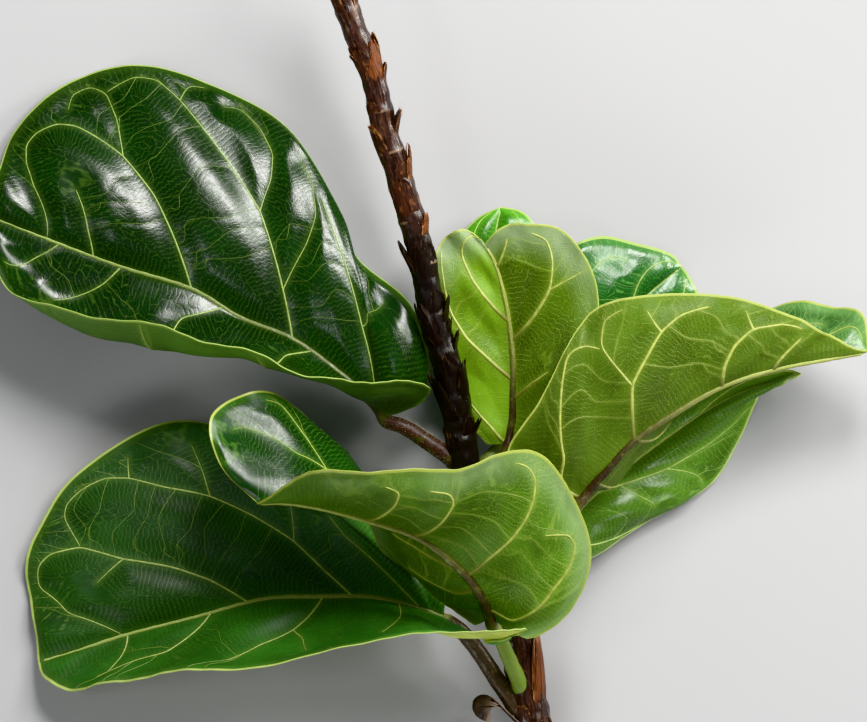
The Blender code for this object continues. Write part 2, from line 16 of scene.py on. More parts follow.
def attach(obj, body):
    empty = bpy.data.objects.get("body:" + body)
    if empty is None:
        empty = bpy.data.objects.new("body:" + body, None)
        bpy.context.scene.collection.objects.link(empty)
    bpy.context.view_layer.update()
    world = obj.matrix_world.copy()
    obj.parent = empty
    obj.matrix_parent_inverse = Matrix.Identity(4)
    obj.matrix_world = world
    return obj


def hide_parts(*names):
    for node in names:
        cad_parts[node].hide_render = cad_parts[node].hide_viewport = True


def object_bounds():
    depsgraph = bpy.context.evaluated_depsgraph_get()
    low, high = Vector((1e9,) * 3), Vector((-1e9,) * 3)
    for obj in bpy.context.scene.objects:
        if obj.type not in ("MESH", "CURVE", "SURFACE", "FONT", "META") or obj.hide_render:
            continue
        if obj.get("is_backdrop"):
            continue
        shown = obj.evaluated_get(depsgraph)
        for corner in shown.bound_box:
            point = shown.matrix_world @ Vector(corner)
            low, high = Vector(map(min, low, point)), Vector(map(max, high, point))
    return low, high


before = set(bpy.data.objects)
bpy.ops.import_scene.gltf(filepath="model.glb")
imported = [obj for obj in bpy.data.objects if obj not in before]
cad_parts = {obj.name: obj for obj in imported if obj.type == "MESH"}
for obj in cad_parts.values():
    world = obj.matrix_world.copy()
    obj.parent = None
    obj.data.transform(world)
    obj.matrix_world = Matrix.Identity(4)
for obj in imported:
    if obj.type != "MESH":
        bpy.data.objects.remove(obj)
cad_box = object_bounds()

MM = 0.001
HOME = (4.0, 1.0, 0.0)
SEED = 27

# The photograph, how much of the plan one of its pixels spans, and the camera straight above the plan
PHOTO = (867, 722)
PIXEL = 0.40
CAMERA_HEIGHT = 6000.0
CAMERA_LEVEL = 35.0
SENSOR = 36.0

# A blade: its thickness and that of its margin, how far the margin's bead stands out and the points round it,
# how far the lines across it sweep forward, how high it bows between side veins and waves at the margin, and
# the width at which both are full
BLADE_THICKNESS = 0.7
MARGIN_THICKNESS = 0.5
RIM_BULGE = 0.2
RIM_TURNS = 7
SWEEP = 0.06
QUILT_HEIGHT = 1.3
WAVE_HEIGHT = 1.1
FADE_WIDTH = 20.0
# A fine ruffle along the margin: height, and how many waves there are to a row of the leaf
RUFFLE_HEIGHT = 0.15
RUFFLES = 2.3
# The fine grid of a blade: where it starts and how far before the last row it ends, in rows, then millimetres
# between its lines and between its columns
FOOT_LINE = 0.9
TIP_LINE = 0.03
LINE_STEP = 1.7
COLUMN_STEP = 1.4
# How far the blade puckers up between its side veins, and how far from one it is up; then between rungs
PUCKER_HEIGHT = 1.1
PUCKER_REACH = 11
DIMPLE_HEIGHT = 0.12
DIMPLE_REACH = 2.0
# Over how many millimetres from the margin the puckers and the full thickness come in
FLAT_MARGIN = 4
THIN_MARGIN = 3

# The midrib: how deep it sits, in its radii, how many rows before the tip it ends, its radius there, its
# share of the petiole's at the foot, how it tapers, its sides, the millimetres between its rings, and how
# much broader it gets past the petiole
MIDRIB_SINK = 0.8
RIB_END = 0.12
MIDRIB_END_RADIUS = 0.6
RIB_SHARE = 0.8
RIB_TAPER = 0.5
RIB_SIDES = 18
RIB_STEP = 1.2
MIDRIB_SWELL = 0.28
# The heights of its faint lengthwise ridges and of its knobs
RIDGE_HEIGHT = 0.06
KNOB_HEIGHT = 0.05
# By what share a petiole is broader where it leaves the stem, and over how many millimetres
PETIOLE_FLARE = 0.3
FLARE_LENGTH = 4
# The lengths of the hairs on a petiole
HAIR_LENGTH = (0.8, 2.1)
# A hair's radius on a petiole and on a scale
HAIR_RADIUS = 0.045
BRISTLE_RADIUS = 0.07

# Half widths of a side vein at its start and its end: on the upper side, and underneath
VEIN_TOP = (0.42, 0.18)
VEIN_UNDER = (0.85, 0.36)
VEIN_STEP = 1.2
# How high a vein stands on the upper side, in millimetres and as a share of its half width, then how far it
# hangs underneath, as a share of that, and how deep in the blade it starts there
TOP_RISE = (0.12, 0.25)
UNDER_RISE = 0.7
UNDER_SINK = 0.08
# The furthest out that a vein goes, as a share of the half's width
VEIN_LIMIT = 0.985
# How a branch and a rung compare with a side vein
BRANCH_SHARE = 0.7
RUNG_SHARE = 0.32
# Rungs are the thin veins that join neighbouring side veins, and twigs run from the outermost to the margin:
# millimetres from one to the next, the shortest and the longest there are, and how far either jumps about
RUNG_SPACING = 10.0
RUNG_REACH = (7.0, 60.0)
TWIG_SPACING = 8.0
TWIG_REACH = (4.0, 26.0)
JITTER = 0.03
# How many rungs fork, and where, as shares of a vein's way, rungs end and of a half's width twigs begin
FORK_CHANCE = 0.5
RUNG_END = 0.96
TWIG_START = 0.45
# How a side vein that the photograph hides leans from its mark on the midrib to the next one, and then out
LEANS = ((0, 0), (0.03, 0.2), (0.1, 0.42), (0.22, 0.62), (0.42, 0.76), (0.68, 0.82), (0.9, 0.78))
# The lowest vein of such a half, as shares of the way to its first mark, and out
FOOT_LEANS = ((0.3, 0), (0.28, 0.3), (0.4, 0.6), (0.75, 0.78))
# The finest net, which is in the materials: millimetres from one line to the next, how far the lines sway,
# how far its cells are bent, and how many wide and fine cells there are to a millimetre
LADDER_STEP = 1.9
LADDER_SWAY = 2.6
CELL_BEND = 2.2
WIDE_CELLS = 0.3
FINE_CELLS = 0.8
# Neighbouring points lie on two sides of a seam if their places along the nearest vein are further apart
SEAM_JUMP = 4 * COLUMN_STEP
# What each vein's places have more than those of the one before, so that their ladders don't run in step
OWNER_STEP = 41.7

# The stem's path and bark: points to a row of STEM, the reach over which its direction is measured, the
# millimetres between rings of points, and the sides
PATH_POINTS = 12
PATH_REACH = 4.0
STEM_STEP = 0.8
STEM_SIDES = 84
# The slanting cut through its foot, how far up the rings lean with it, and the rings of points on its face
FOOT_CUT_ANGLE = math.radians(28)
FOOT_CUT_AT = 6.0
FOOT_FADE = 22.0
CUT_RINGS = 16
# How far the year's rings stand out on the cut face, and how far the closed top does past the last ring
CUT_RELIEF = 0.25
TOP_CAP = 0.4
# The bark's fibres, knobs and fine grain: their height, how closely they repeat round the stem and along it,
# and how far their pattern is moved aside
BARK_GRAIN = ((0.2, 0.9, 0.11, 0), (0.5, 0.35, 0.2, 9), (0.1, 2.2, 0.7, 0))
# Leaf scars ring the stem at these distances from its foot
NODES = (45, 66, 89, 98, 111, 134, 142, 159, 176, 194, 211, 232, 250, 264, 279, 296, 318, 338)
RING_HEIGHT = 0.4
RING_HALF_LENGTH = 2.2

# A scale's points along and across, its least thickness, what its root has more and how much of that its tip
# has lost, how far its fibres stand out, how deep its root sits in the bark, how far it lies off it, how much
# it narrows, and how much wider its papery rims spread than its solid middle
SCALE_GRID = (20, 17)
SCALE_LEAST = 0.12
SCALE_THICKNESS = 0.4
SCALE_THINNING = 0.75
FIBRE_HEIGHT = 0.07
SCALE_ROOT = 1.4
SCALE_LIFT = 0.3
SCALE_NARROWING = 0.35
SCALE_SPREAD = 1.2
# How deep a scale is torn, as a share of its length
TEAR = 0.45
# Where on the stem the bark and scales are painted nearly black as painted shade, how much of that painted
# shade the scales there take on through their age value, and how much older they are below it
PAINTED_SHADE_REACH = (88, 238)
SCALE_SHADE = 0.8
FOOT_AGE = 0.07
# Above this distance the scales on the stem's upper side lie close and keep this share of their looseness
HUG_FROM = 240
HUG = 0.3
# The scale that leaves the stem and curls back is the first one. How much further up the stem it leaves the
# bark, its length, the directions, in degrees off the stem's own, in which it starts and in which its tip
# points, how wide it is, as a share of a scale that stays close, and how much older
CURLED = 0
CURL_START = 9.0
CURL_LENGTH = 36.0
CURL_TURN = (30, 240)
CURL_WIDTH = 0.6
CURL_AGE = 1.5
# The turn from one leaf, or one small scale, to the next
LEAF_TURN = 137.5
# Stubs of old scales on the bare upper stem, and flakes round each group of leaf scars: from, to, how many
STUBS = ((172, 322, 7),)
FLAKES = ((14, 84, 14), (90, 236, 26), (266, 284, 3), (304, 318, 3))
# The ranges of their places, as shares of a step, and of their angles, lengths, widths and flares
STUB_RANGES = ((0.2, 0.8), (-25, 25), (6, 11), (5, 8), (0.6, 2.2))
FLAKE_RANGES = ((0, 1), (-40, 40), (6, 15), (4, 9), (-0.1, 0.6))

# The stem from foot to bud, as x, y, z and radius
STEM = (
    (48.0, -182.5, 4.4, 7.1),
    (46.5, -175.5, 5.9, 7.1),
    (40.0, -144.5, 13.5, 7.0),
    (34.5, -115.5, 18.5, 6.8),
    (28.5, -95.5, 22.0, 6.6),
    (20.5, -71.5, 26.5, 6.4),
    (13.0, -43.5, 31.5, 6.1),
    (10.5, -27.5, 34.0, 6.0),
    (7.5, -9.5, 37.0, 5.8),
    (2.5, 8.5, 40.0, 5.6),
    (-1.5, 24.5, 43.0, 5.4),
    (-4.5, 40.5, 45.5, 5.3),
    (-8.5, 56.5, 48.5, 5.2),
    (-14.0, 74.5, 51.5, 5.1),
    (-19.5, 92.5, 54.5, 5.0),
    (-24.5, 114.5, 58.0, 4.9),
    (-32.5, 134.5, 61.5, 4.8),
    (-35.5, 144.5, 63.0, 4.7),
    (-39.5, 156.5, 65.0, 4.6),
    (-42.0, 163.0, 66.0, 4.8),
    (-45.0, 170.5, 67.5, 3.6),
    (-47.0, 176.5, 69.0, 1.9),
    (-48.0, 180.0, 70.0, 0.7),
)

Scale = namedtuple("Scale", "foot angle length width flare")
# Stipule scales: distance from the foot, angle round the stem with 0 on top and 90 on its right,
# length, width, and how far the tip stands off the bark
SCALES = (
    Scale(30, -80, 24, 12, 7.5),
    Scale(42, 70, 33, 12, 3.0),
    Scale(27, 0, 14, 9, 2.0),
    Scale(72, 5, 18, 10, 1.4),
    Scale(76, 190, 15, 10, 1.4),
    Scale(163, -75, 25, 11, 4.0),
    Scale(158, 95, 8, 7, 3.4),
    Scale(170, 75, 20, 12, 1.6),
    Scale(193, -50, 24, 11, 1.4),
    Scale(192, 92, 10, 8, 3.4),
    Scale(204, 85, 13, 9, 3.2),
    Scale(220, 20, 22, 10, 1.2),
    Scale(223, -95, 20, 9, 3.4),
    Scale(246, -15, 22, 11, 1.0),
    Scale(262, 95, 18, 9, 3.6),
    Scale(272, -72, 18, 10, 1.3),
    Scale(283, 95, 12, 8, 4.4),
    Scale(307, -40, 18, 9, 2.6),
    Scale(308, 50, 16, 6, 2.2),
    Scale(310, 125, 16, 6, 3.8),
    Scale(330, -75, 24, 10, 1.8),
    Scale(333, 105, 24, 10, 1.2),
)

Leaf = namedtuple("Leaf", "rows tip left_veins right_veins petiole petiole_radius")

# Each row of a leaf crosses it: a point of the midrib, then the left margin and the right margin, each with
# the height in the middle of that half, towards the upper side. Left is as seen on the upper side with the
# tip ahead. The rows run from the foot of the blade, where they fan out over its lobes, and all meet in the
# tip. The marks of a half's side veins on the midrib are counted in rows, and the petiole starts in the stem.
LEAVES = {
    "leaf_upper_left": Leaf(
        rows=(
            ((-18, -23, 34), (-12.5, -22.5, 36, 0), (-14.5, -22, 32, 0)),
            ((-19.3, -21.6, 34), (-5.5, -17, 43, 0), (-1.5, -4.5, 32, 2)),
            ((-20.7, -20, 34), (-2, -10.5, 50, -3), (-9, 22.4, 34, 4)),
            ((-22.3, -18.2, 33.8), (-12, -7, 57, -5), (-30.6, 41.6, 27, 5)),
            ((-25.5, -15, 33), (-26, -8, 62, -5), (-39, 63.6, 20, 6)),
            ((-37.5, -4.5, 31), (-46, -6.5, 69, -5), (-60.5, 95.4, 10, 6)),
            ((-56.5, 9, 28), (-70, 2.5, 72, -8), (-94, 113, 3, 6)),
            ((-77.5, 17.5, 25), (-93.5, 9.5, 72, -12.5), (-123, 119, 1.8, 6)),
            ((-97, 29, 23), (-117.5, 15.5, 67, -19), (-148.5, 111, 1.4, 6)),
            ((-126, 38, 20), (-145.5, 20.5, 57, -20), (-168, 93, 6, 5)),
            ((-155.5, 49, 17), (-169.5, 28.5, 42, -14), (-175, 75.5, 12, 2)),
        ),
        tip=(-182, 59.5, 15),
        left_veins=(4.4, 5.7, 7.3, 9.0),
        right_veins=(4.0, 6.0, 8.0, 9.9),
        petiole=((10, -40.5, 31), (-1.5, -33, 33), (-11.5, -26.5, 34.5)),
        petiole_radius=3.6,
    ),
    "leaf_lower_left": Leaf(
        rows=(
            ((5.5, -103, 27), (8.5, -106.5, 28, 0), (5.5, -100.5, 27, 0)),
            ((3.8, -102.3, 27), (24, -113, 50, -2), (3, -91, 26, 1)),
            ((2, -101.6, 27), (36.5, -107.5, 64, -7), (-5.5, -77, 20, 3)),
            ((0, -100.8, 26.8), (30, -106.5, 68, -8), (-23.5, -63, 14, 6)),
            ((-3.5, -99.6, 26.4), (14, -106.5, 68, -7.5), (-44, -57.5, 14, 10)),
            ((-12.5, -97, 25), (-10, -108, 65, -4), (-73.5, -31.5, 14, 5)),
            ((-27, -94.5, 24), (-44.5, -116.5, 60, -6), (-107.5, -24.5, 12, 3)),
            ((-46, -94.5, 22), (-83.5, -123, 54, -7), (-143.5, -45.5, 9, 2)),
            ((-68.5, -95.5, 20), (-109.5, -124.5, 46, -5), (-159, -67.5, 6, 3)),
            ((-95, -102.5, 17), (-130, -129, 34, -3), (-164, -83.5, 4, 4)),
            ((-124, -110, 13), (-147, -131.5, 20, -2), (-162, -97.5, 4, 3)),
            ((-145.5, -117, 10), (-156.5, -127, 12, 0), (-160, -109.5, 6, 1)),
        ),
        tip=(-159, -121, 8),
        left_veins=(5.5, 7.0, 8.8, 10.2),
        right_veins=(4.0, 6.3, 8.2, 10.0),
        petiole=((34, -139.5, 15), (26.5, -129.5, 18), (18, -116.5, 22), (10.5, -107.5, 26)),
        petiole_radius=3.6,
    ),
    "leaf_front": Leaf(
        rows=(
            ((24, -103, 50), (28, -107, 52, 0), (21, -105, 49, 0)),
            ((23.3, -101.5, 51.5), (38.5, -111, 56, -2), (16, -105.5, 47, 0)),
            ((22.4, -99.7, 53.5), (54, -99.5, 61, -4), (5.5, -97, 37.5, 0)),
            ((21, -96.8, 56.5), (62.5, -80.5, 68, -6), (-4, -89.5, 33, -5)),
            ((18.5, -92, 61), (58.5, -60.5, 75, -7), (-13.5, -81.5, 31, -6)),
            ((14, -85.5, 66), (44.5, -38.5, 86, -8), (-22, -72, 31, -6)),
            ((4.5, -76.5, 71), (26.5, -36.5, 94, -8), (-28.5, -60.5, 33, -5)),
            ((-6.5, -69, 74.5), (7.5, -43, 100, -7), (-33.5, -41.5, 38, -4)),
            ((-23, -63.5, 77), (-19.5, -43, 105, -6), (-46, -25.5, 46, -4)),
            ((-41.5, -58.5, 78), (-44.5, -43.5, 102, -5), (-68.5, -12, 56, -4)),
            ((-56.5, -56, 76), (-58, -49, 90, -3), (-88, -21.5, 66, -3)),
            ((-65.5, -56, 75), (-66, -54, 80, -1), (-84.5, -42, 73, -1)),
        ),
        tip=(-70, -56.5, 74),
        left_veins=(2.6, 5.0, 7.0, 8.7),
        right_veins=(3.0, 5.2, 6.8, 8.4, 9.8),
        petiole=((36, -131.5, 18), (32.5, -124.5, 26), (29, -116.5, 33), (26, -109.5, 40)),
        petiole_radius=3.3,
    ),
    "leaf_back_upright": Leaf(
        rows=(
            ((30, -34, 22), (33, -36.5, 23, 0), (26.5, -36.5, 21, 0)),
            ((30.4, -32, 22), (41, -33, 26, -1), (21, -32.5, 20, -1)),
            ((31, -29, 22), (52.5, -20.5, 30, -3), (14, -23, 20, -2)),
            ((32, -23, 22), (62, -1.5, 33, -4), (6, -7, 21, -3)),
            ((32, -12.5, 23), (66, 19.5, 35, -4), (0, 12.5, 23, -3)),
            ((32, 1.5, 24), (62, 39.5, 36, -4), (-1.5, 29, 26, -3)),
            ((30.5, 14.5, 25.5), (50.5, 52.5, 35, -3), (1.5, 44.5, 28, -3)),
            ((28, 28.5, 27.5), (36, 55, 34, -2), (8.5, 52, 30, -2)),
            ((24.5, 39.5, 29), (26.5, 53, 33, -1), (15.5, 51.5, 31, -1)),
        ),
        tip=(20.5, 46.5, 30),
        left_veins=(2.2, 4.0, 5.6, 7.2),
        right_veins=(1.8, 4.4, 6.1, 7.4),
        petiole=((20.5, -69, 24), (25, -55.5, 19), (28, -43.5, 20)),
        petiole_radius=2.6,
    ),
    "leaf_right": Leaf(
        rows=(
            ((58, -55, 50), (61, -57, 49, 0), (54, -59, 51, 0)),
            ((59.2, -53.6, 50.1), (49, -54, 41, -4), (38.5, -52.5, 55, -1)),
            ((60.5, -52.1, 50.3), (46, -45.5, 33, -8), (29.5, -36.5, 59, -3)),
            ((62, -50.3, 50.8), (51.5, -35.5, 26, -13), (42.5, -15, 63, -5)),
            ((64, -48, 51.5), (62, -25.5, 21, -16), (56.5, 11.5, 66, -6)),
            ((69, -43, 53), (74, -15.5, 19, -17), (69, 23, 67, -6)),
            ((80, -31, 55), (92, 0.5, 20, -14), (90.5, 26.5, 67, -6)),
            ((98, -19, 56), (115.5, 14.5, 24, -10), (121, 25, 64, -5)),
            ((116, -9, 56), (140.5, 23, 33, -8), (142.5, 18, 61, -4)),
            ((137, -2.5, 54), (160, 22, 42, -7), (156.5, 11, 56, -2)),
            ((156, 1, 52), (171.5, 18, 47, -4), (166, 6, 53, -1)),
        ),
        tip=(173.5, 4, 50),
        left_veins=(4.0, 6.0, 8.0, 9.3),
        right_veins=(4.0, 6.0, 8.0, 9.0),
        petiole=((26.5, -82.5, 26), (40.5, -71.5, 36), (50.5, -63, 45)),
        petiole_radius=3.2,
    ),
    "leaf_lower_right": Leaf(
        rows=(
            ((51.5, -67, 20), (48.5, -65, 20, 0), (52, -69.5, 20, 0)),
            ((53, -65.4, 19.8), (46, -59, 19, 1), (62.5, -79.5, 12, 2)),
            ((54.6, -63.6, 19.5), (50.5, -49.5, 16, 2), (86.5, -64.5, 6, 3)),
            ((57, -61, 19), (60.5, -40.5, 12, 2), (111.5, -49.5, 2, 3)),
            ((61.5, -56.6, 17.8), (72.5, -31.5, 9, 2), (123.5, -31.5, 1.3, 3)),
            ((71.5, -47.5, 15), (86.5, -23, 7.5, 2), (128.5, -18.5, 1.5, 3)),
            ((88.5, -34.5, 12), (102.5, -14, 6.5, 2), (133, -12, 4, 3)),
            ((106.5, -22, 9.5), (118, -8, 6.5, 1), (137, -11, 8, 2)),
            ((123.5, -13, 8.5), (132, -5, 8, 1), (141, -9, 12, 1)),
            ((138, -8, 10), (142, -3.5, 11, 0), (145, -6.5, 15, 0)),
        ),
        tip=(147.5, -5, 14),
        left_veins=(3.0, 5.0, 7.0),
        right_veins=(2.0, 4.4, 6.5, 8.2),
        petiole=((29, -89.5, 21), (38.5, -79.5, 20.5), (46, -73, 20)),
        petiole_radius=3.0,
    ),
    "leaf_back_right": Leaf(
        rows=(
            ((34.5, -27.5, 12), (33.5, -25, 12, 0), (38, -29, 12, 0)),
            ((36.2, -25.9, 12), (31.5, -15.5, 13, 1), (46, -30, 11, 1)),
            ((38.5, -23.5, 12), (34.5, 0.5, 14, 2), (58.5, -25.5, 9, 2)),
            ((44.5, -17, 11.5), (42, 24.5, 14, 4), (71.5, -16.5, 7, 3)),
            ((55.5, -4.5, 11), (52.5, 43.5, 13, 4), (86, -4.5, 5, 3)),
            ((67.5, 8.5, 10), (66.5, 50, 11, 4), (98.5, 9, 3, 3)),
            ((79.5, 20.5, 9), (82.5, 47, 9, 3), (106, 23.5, -0.3, 2)),
            ((90.5, 30.5, 7), (95.5, 43, 6, 2), (103.5, 33, 2, 1)),
        ),
        tip=(100, 38, 5),
        left_veins=(2.6, 4.2, 6.0),
        right_veins=(2.2, 4.0, 5.7),
        petiole=((15, -47, 28), (20.5, -40.5, 17), (27.5, -33.5, 13)),
        petiole_radius=2.6,
    ),
    "leaf_back_top": Leaf(
        rows=(
            ((14.5, 4.5, 9), (12, 4.5, 9, 0), (18, 4.5, 9, 0)),
            ((15, 6.5, 9), (6.5, 6.5, 8, 1), (26.5, 7, 9, 1)),
            ((16, 11, 9), (1, 15.5, 7, 2), (36, 15.5, 9, 2)),
            ((18, 21, 8.5), (-2, 29, 6, 3), (42.5, 29, 8.5, 3)),
            ((20.5, 33, 8), (0.5, 42, 5.5, 3), (44.5, 42, 8, 3)),
            ((23, 44.5, 7.5), (12, 52, 5, 2), (42, 52.5, 7, 2)),
            ((25.5, 54.5, 6.5), (19, 58.5, 5, 1), (35.5, 60, 6, 1)),
        ),
        tip=(27, 62, 5),
        left_veins=(2.5, 4.5),
        right_veins=(3.0, 5.0),
        petiole=((9.5, -23.5, 31.5), (6.5, -15.5, 19), (8.5, -5.5, 12)),
        petiole_radius=2.4,
    ),
}

FLOOR_COLOUR = (0.40, 0.40, 0.41)
SKY_COLOUR = (0.92, 0.95, 1.0)
SKY_STRENGTH = 0.16
VIEW = "Khronos PBR Neutral"
# Name, place, what it points at, its two sizes in metres, watts and colour
LIGHTS = (
    ("window", (0.16, 0.77, 1.04), (0, 0, 0.04), (0.34, 0.34), 16, (1.0, 0.985, 0.96)),
    ("corner", (0.67, 0.63, 1.03), (0, 0, 0.04), (0.46, 0.55), 14, (1.0, 0.99, 0.95)),
    ("rim", (1.25, 0.5, 0.42), (0, 0, 0.04), (0.5, 0.2), 14, (1.0, 0.99, 0.95)),
    ("left", (-0.59, -0.06, 1.27), (0, -0.02, 0.04), (0.22, 0.22), 1.4, (0.97, 0.98, 1.0)),
    ("fill", (-0.55, -1.2, 0.6), (0, -0.05, 0.04), (0.9, 0.5), 8, (0.98, 1.0, 0.97)),
    ("front", (0.73, -0.81, 0.75), (0, 0, 0.04), (0.36, 0.36), 2.5, (1.0, 1.0, 0.98)),
)

# Veins that the photograph shows on one half of a leaf, as its pixels. The half is -1 for left, 1 for right.
# Each vein starts on the midrib, or on a vein above it in the list where it shares a point with that one.
SEEN_VEINS = {
    ("leaf_upper_left", 1): (
        ((375, 377), (362, 327), (346, 266), (336, 238), (322, 200)),
        ((292, 339), (283, 290), (260, 211), (227, 160), (180, 100), (157, 80), (134, 77), (107, 92)),
        ((191, 288), (172, 233), (154, 195), (123, 156), (98, 138), (76, 126), (56, 124), (36, 133),
         (26, 145), (26, 163), (33, 185), (47, 237)),
        ((260, 211), (271, 180), (273, 154), (260, 128), (240, 109), (224, 107)),
        ((283, 290), (306, 245), (316, 215), (311, 178), (301, 163)),
        ((123, 156), (117, 120), (106, 93), (90, 87), (72, 95), (68, 110)),
        ((180, 100), (188, 86), (205, 88)),
        ((92, 253), (88, 232), (82, 205), (76, 190)),
        ((362, 327), (378, 311), (383, 303)),
    ),
    ("leaf_upper_left", -1): (
        ((311, 353), (285, 355), (258, 356)),
        ((222, 312), (180, 318), (140, 322)),
        ((120, 270), (102, 285), (78, 296), (53, 300)),
        ((58, 248), (36, 257), (4, 262)),
    ),
    ("leaf_lower_left", 1): (
        ((415, 600), (380, 567), (345, 536), (329, 516)),
        ((351, 595), (325, 571), (294, 541), (252, 515), (210, 496), (164, 487), (129, 478), (105, 478),
         (81, 490), (66, 505), (64, 518), (80, 546)),
        ((247, 602), (210, 580), (172, 567), (123, 559), (80, 547), (50, 554), (38, 567), (39, 588),
         (67, 613), (123, 636)),
        ((210, 496), (203, 472), (191, 444)),
        ((294, 541), (292, 513), (289, 499)),
        ((123, 559), (108, 572), (97, 583)),
        ((129, 478), (128, 457)),
    ),
    ("leaf_lower_left", -1): (
        ((322, 599), (310, 615), (293, 630), (260, 645), (227, 660)),
        ((210, 614), (199, 627), (166, 652), (138, 660), (97, 677)),
        ((127, 635), (122, 655), (108, 671)),
        ((399, 604), (401, 616), (382, 632)),
        ((293, 630), (303, 638), (306, 649)),
    ),
    ("leaf_front", -1): (
        ((489, 608), (510, 620), (535, 610), (552, 590), (570, 565), (575, 545), (568, 534), (545, 535)),
        ((469, 574), (490, 557), (510, 540), (525, 520), (533, 500), (535, 480), (529, 468), (515, 463)),
        ((417, 533), (444, 519), (454, 503), (450, 493), (430, 491)),
        ((368, 518), (395, 505), (400, 492), (385, 486)),
    ),
    ("leaf_front", 1): (
        ((368, 518), (345, 494), (327, 470), (310, 444), (297, 425), (282, 405), (266, 400)),
        ((327, 470), (297, 454), (276, 439), (243, 427), (232, 430)),
        ((463, 569), (440, 560), (415, 545), (395, 533)),
        ((479, 588), (455, 592), (430, 580), (410, 566)),
    ),
    ("leaf_back_upright", 1): (
        ((510, 445), (492, 428), (478, 412), (468, 398)),
        ((510, 379), (486, 357), (466, 338), (451, 313), (443, 275), (441, 252)),
        ((503, 318), (486, 299), (472, 280), (462, 257), (463, 243), (477, 237)),
    ),
    ("leaf_back_upright", -1): (
        ((515, 338), (533, 318), (550, 290), (553, 263), (547, 241), (531, 233)),
        ((550, 290), (568, 280), (583, 271)),
        ((510, 400), (530, 385), (548, 372)),
        ((497, 268), (505, 250), (508, 238)),
    ),
    ("leaf_right", 1): (
        ((575, 499), (564, 458), (560, 427), (562, 385), (567, 357), (583, 347), (600, 349)),
        ((634, 440), (632, 385), (645, 360), (661, 332), (681, 315), (709, 307)),
        ((632, 385), (620, 371), (601, 346), (604, 321), (622, 310)),
        ((723, 385), (724, 366), (734, 346), (753, 329), (784, 324), (801, 329)),
        ((661, 332), (652, 320), (647, 311)),
        ((753, 329), (748, 318), (746, 311)),
        ((776, 368), (780, 358), (801, 338)),
    ),
    ("leaf_lower_right", 1): (
        ((572, 512), (594, 491), (620, 485), (667, 469), (709, 444), (734, 424), (748, 408)),
        ((568, 528), (587, 545), (620, 537), (647, 528)),
        ((667, 469), (700, 477), (703, 485)),
        ((620, 485), (640, 497), (655, 507)),
    ),
}

# For each leaf: the colours of its upper side, its underside and its veins; its material slot; how bright its
# blade is painted at its foot, painted light above 1 and painted shade below; how rough its upper side is;
# how many millimetres wide its pale margin is; how brown its petiole and the foot of its midrib are; how much
# pale painted sheen, standing in for light off its underside, lies by the margin at its foot and at its tip;
# how many hairs stand on its petiole; and how bright its left and its right half are painted, as painted
# light and shade
Look = namedtuple(
    "Look",
    "top under vein slot foot gloss rim petiole midrib bloom hairs halves",
    defaults=(0.5, 0.4, (0.1, 0.1), 60, (1.0, 1.0)),
)
LOOKS = {
    "leaf_upper_left": Look(
        top=(0.0035, 0.024, 0.0035), under=(0.10, 0.20, 0.045), vein=(0.33, 0.45, 0.12), slot="leaf_dark",
        foot=1.25, gloss=0.225, rim=0.5, petiole=1.0, midrib=0.85, bloom=(0.0, 0.0), hairs=900,
    ),
    "leaf_lower_left": Look(
        top=(0.013, 0.050, 0.009), under=(0.21, 0.235, 0.05), vein=(0.40, 0.50, 0.15), slot="leaf_dark",
        foot=2.0, gloss=0.36, rim=0.9, petiole=0.95, midrib=0.5, bloom=(0.2, 0.0), hairs=400,
        halves=(2.6, 1.2),
    ),
    "leaf_front": Look(
        top=(0.008, 0.06, 0.008), under=(0.065, 0.15, 0.015), vein=(0.36, 0.42, 0.095), slot="leaf_light",
        foot=1.8, gloss=0.3, rim=0.8, petiole=0.0, midrib=1.0, bloom=(0.6, 0.1), halves=(1.0, 0.55),
    ),
    # Its underside is painted bright yellow-green: partly its own colour, partly painted glow of light
    # shining through
    "leaf_back_upright": Look(
        top=(0.02, 0.15, 0.01), under=(0.14, 0.27, 0.02), vein=(0.44, 0.50, 0.13), slot="leaf_light",
        foot=1.2, gloss=0.22, rim=0.5, petiole=0.7, midrib=1.0, bloom=(0.1, 0.9), halves=(0.52, 1.55),
    ),
    # Its upper side, seen at the folded tip, is painted pale and whitish: partly its own colour, partly
    # painted highlight
    "leaf_right": Look(
        top=(0.085, 0.20, 0.06), under=(0.085, 0.158, 0.016), vein=(0.42, 0.48, 0.12), slot="leaf_light",
        foot=0.75, gloss=0.27, rim=0.6, petiole=0.35, midrib=1.0, bloom=(0.0, 0.0),
    ),
    "leaf_lower_right": Look(
        top=(0.085, 0.185, 0.03), under=(0.11, 0.26, 0.025), vein=(0.46, 0.58, 0.18), slot="leaf_dark",
        foot=0.85, gloss=0.24, rim=1.1,
    ),
    # Its upper side is painted lighter green: partly its own colour, partly painted highlight
    "leaf_back_right": Look(
        top=(0.03, 0.12, 0.03), under=(0.07, 0.22, 0.016), vein=(0.36, 0.48, 0.14), slot="leaf_dark",
        foot=1.0, gloss=0.19, rim=0.9,
    ),
    "leaf_back_top": Look(
        top=(0.045, 0.19, 0.015), under=(0.08, 0.26, 0.016), vein=(0.36, 0.50, 0.12), slot="leaf_dark",
        foot=1.0, gloss=0.24, rim=0.6,
    ),
}
VEIN_BROWN = (0.045, 0.028, 0.011)
PETIOLE_BROWN = (0.058, 0.021, 0.014)
PETIOLE_GREEN = (0.10, 0.19, 0.03)
HAIR_COLOUR = (0.46, 0.42, 0.32)
# The colour of the painted sheen: a pale satin band standing in for light glancing off the underside
PAINTED_SHEEN = (0.33, 0.43, 0.23)
# What light takes on as it shines through from the upper side and from the underside
THROUGH_TOP = (0.08, 0.30, 0.008)
THROUGH_UNDER = (0.24, 0.52, 0.008)
# Millimetres from the midrib at which each half has its own painted brightness, painted light and shade on
# the two halves, and from the blade's middle at which its foot has its full painted brightness
HALF_REACH = 7.0
FOOT_REACH = 70.0
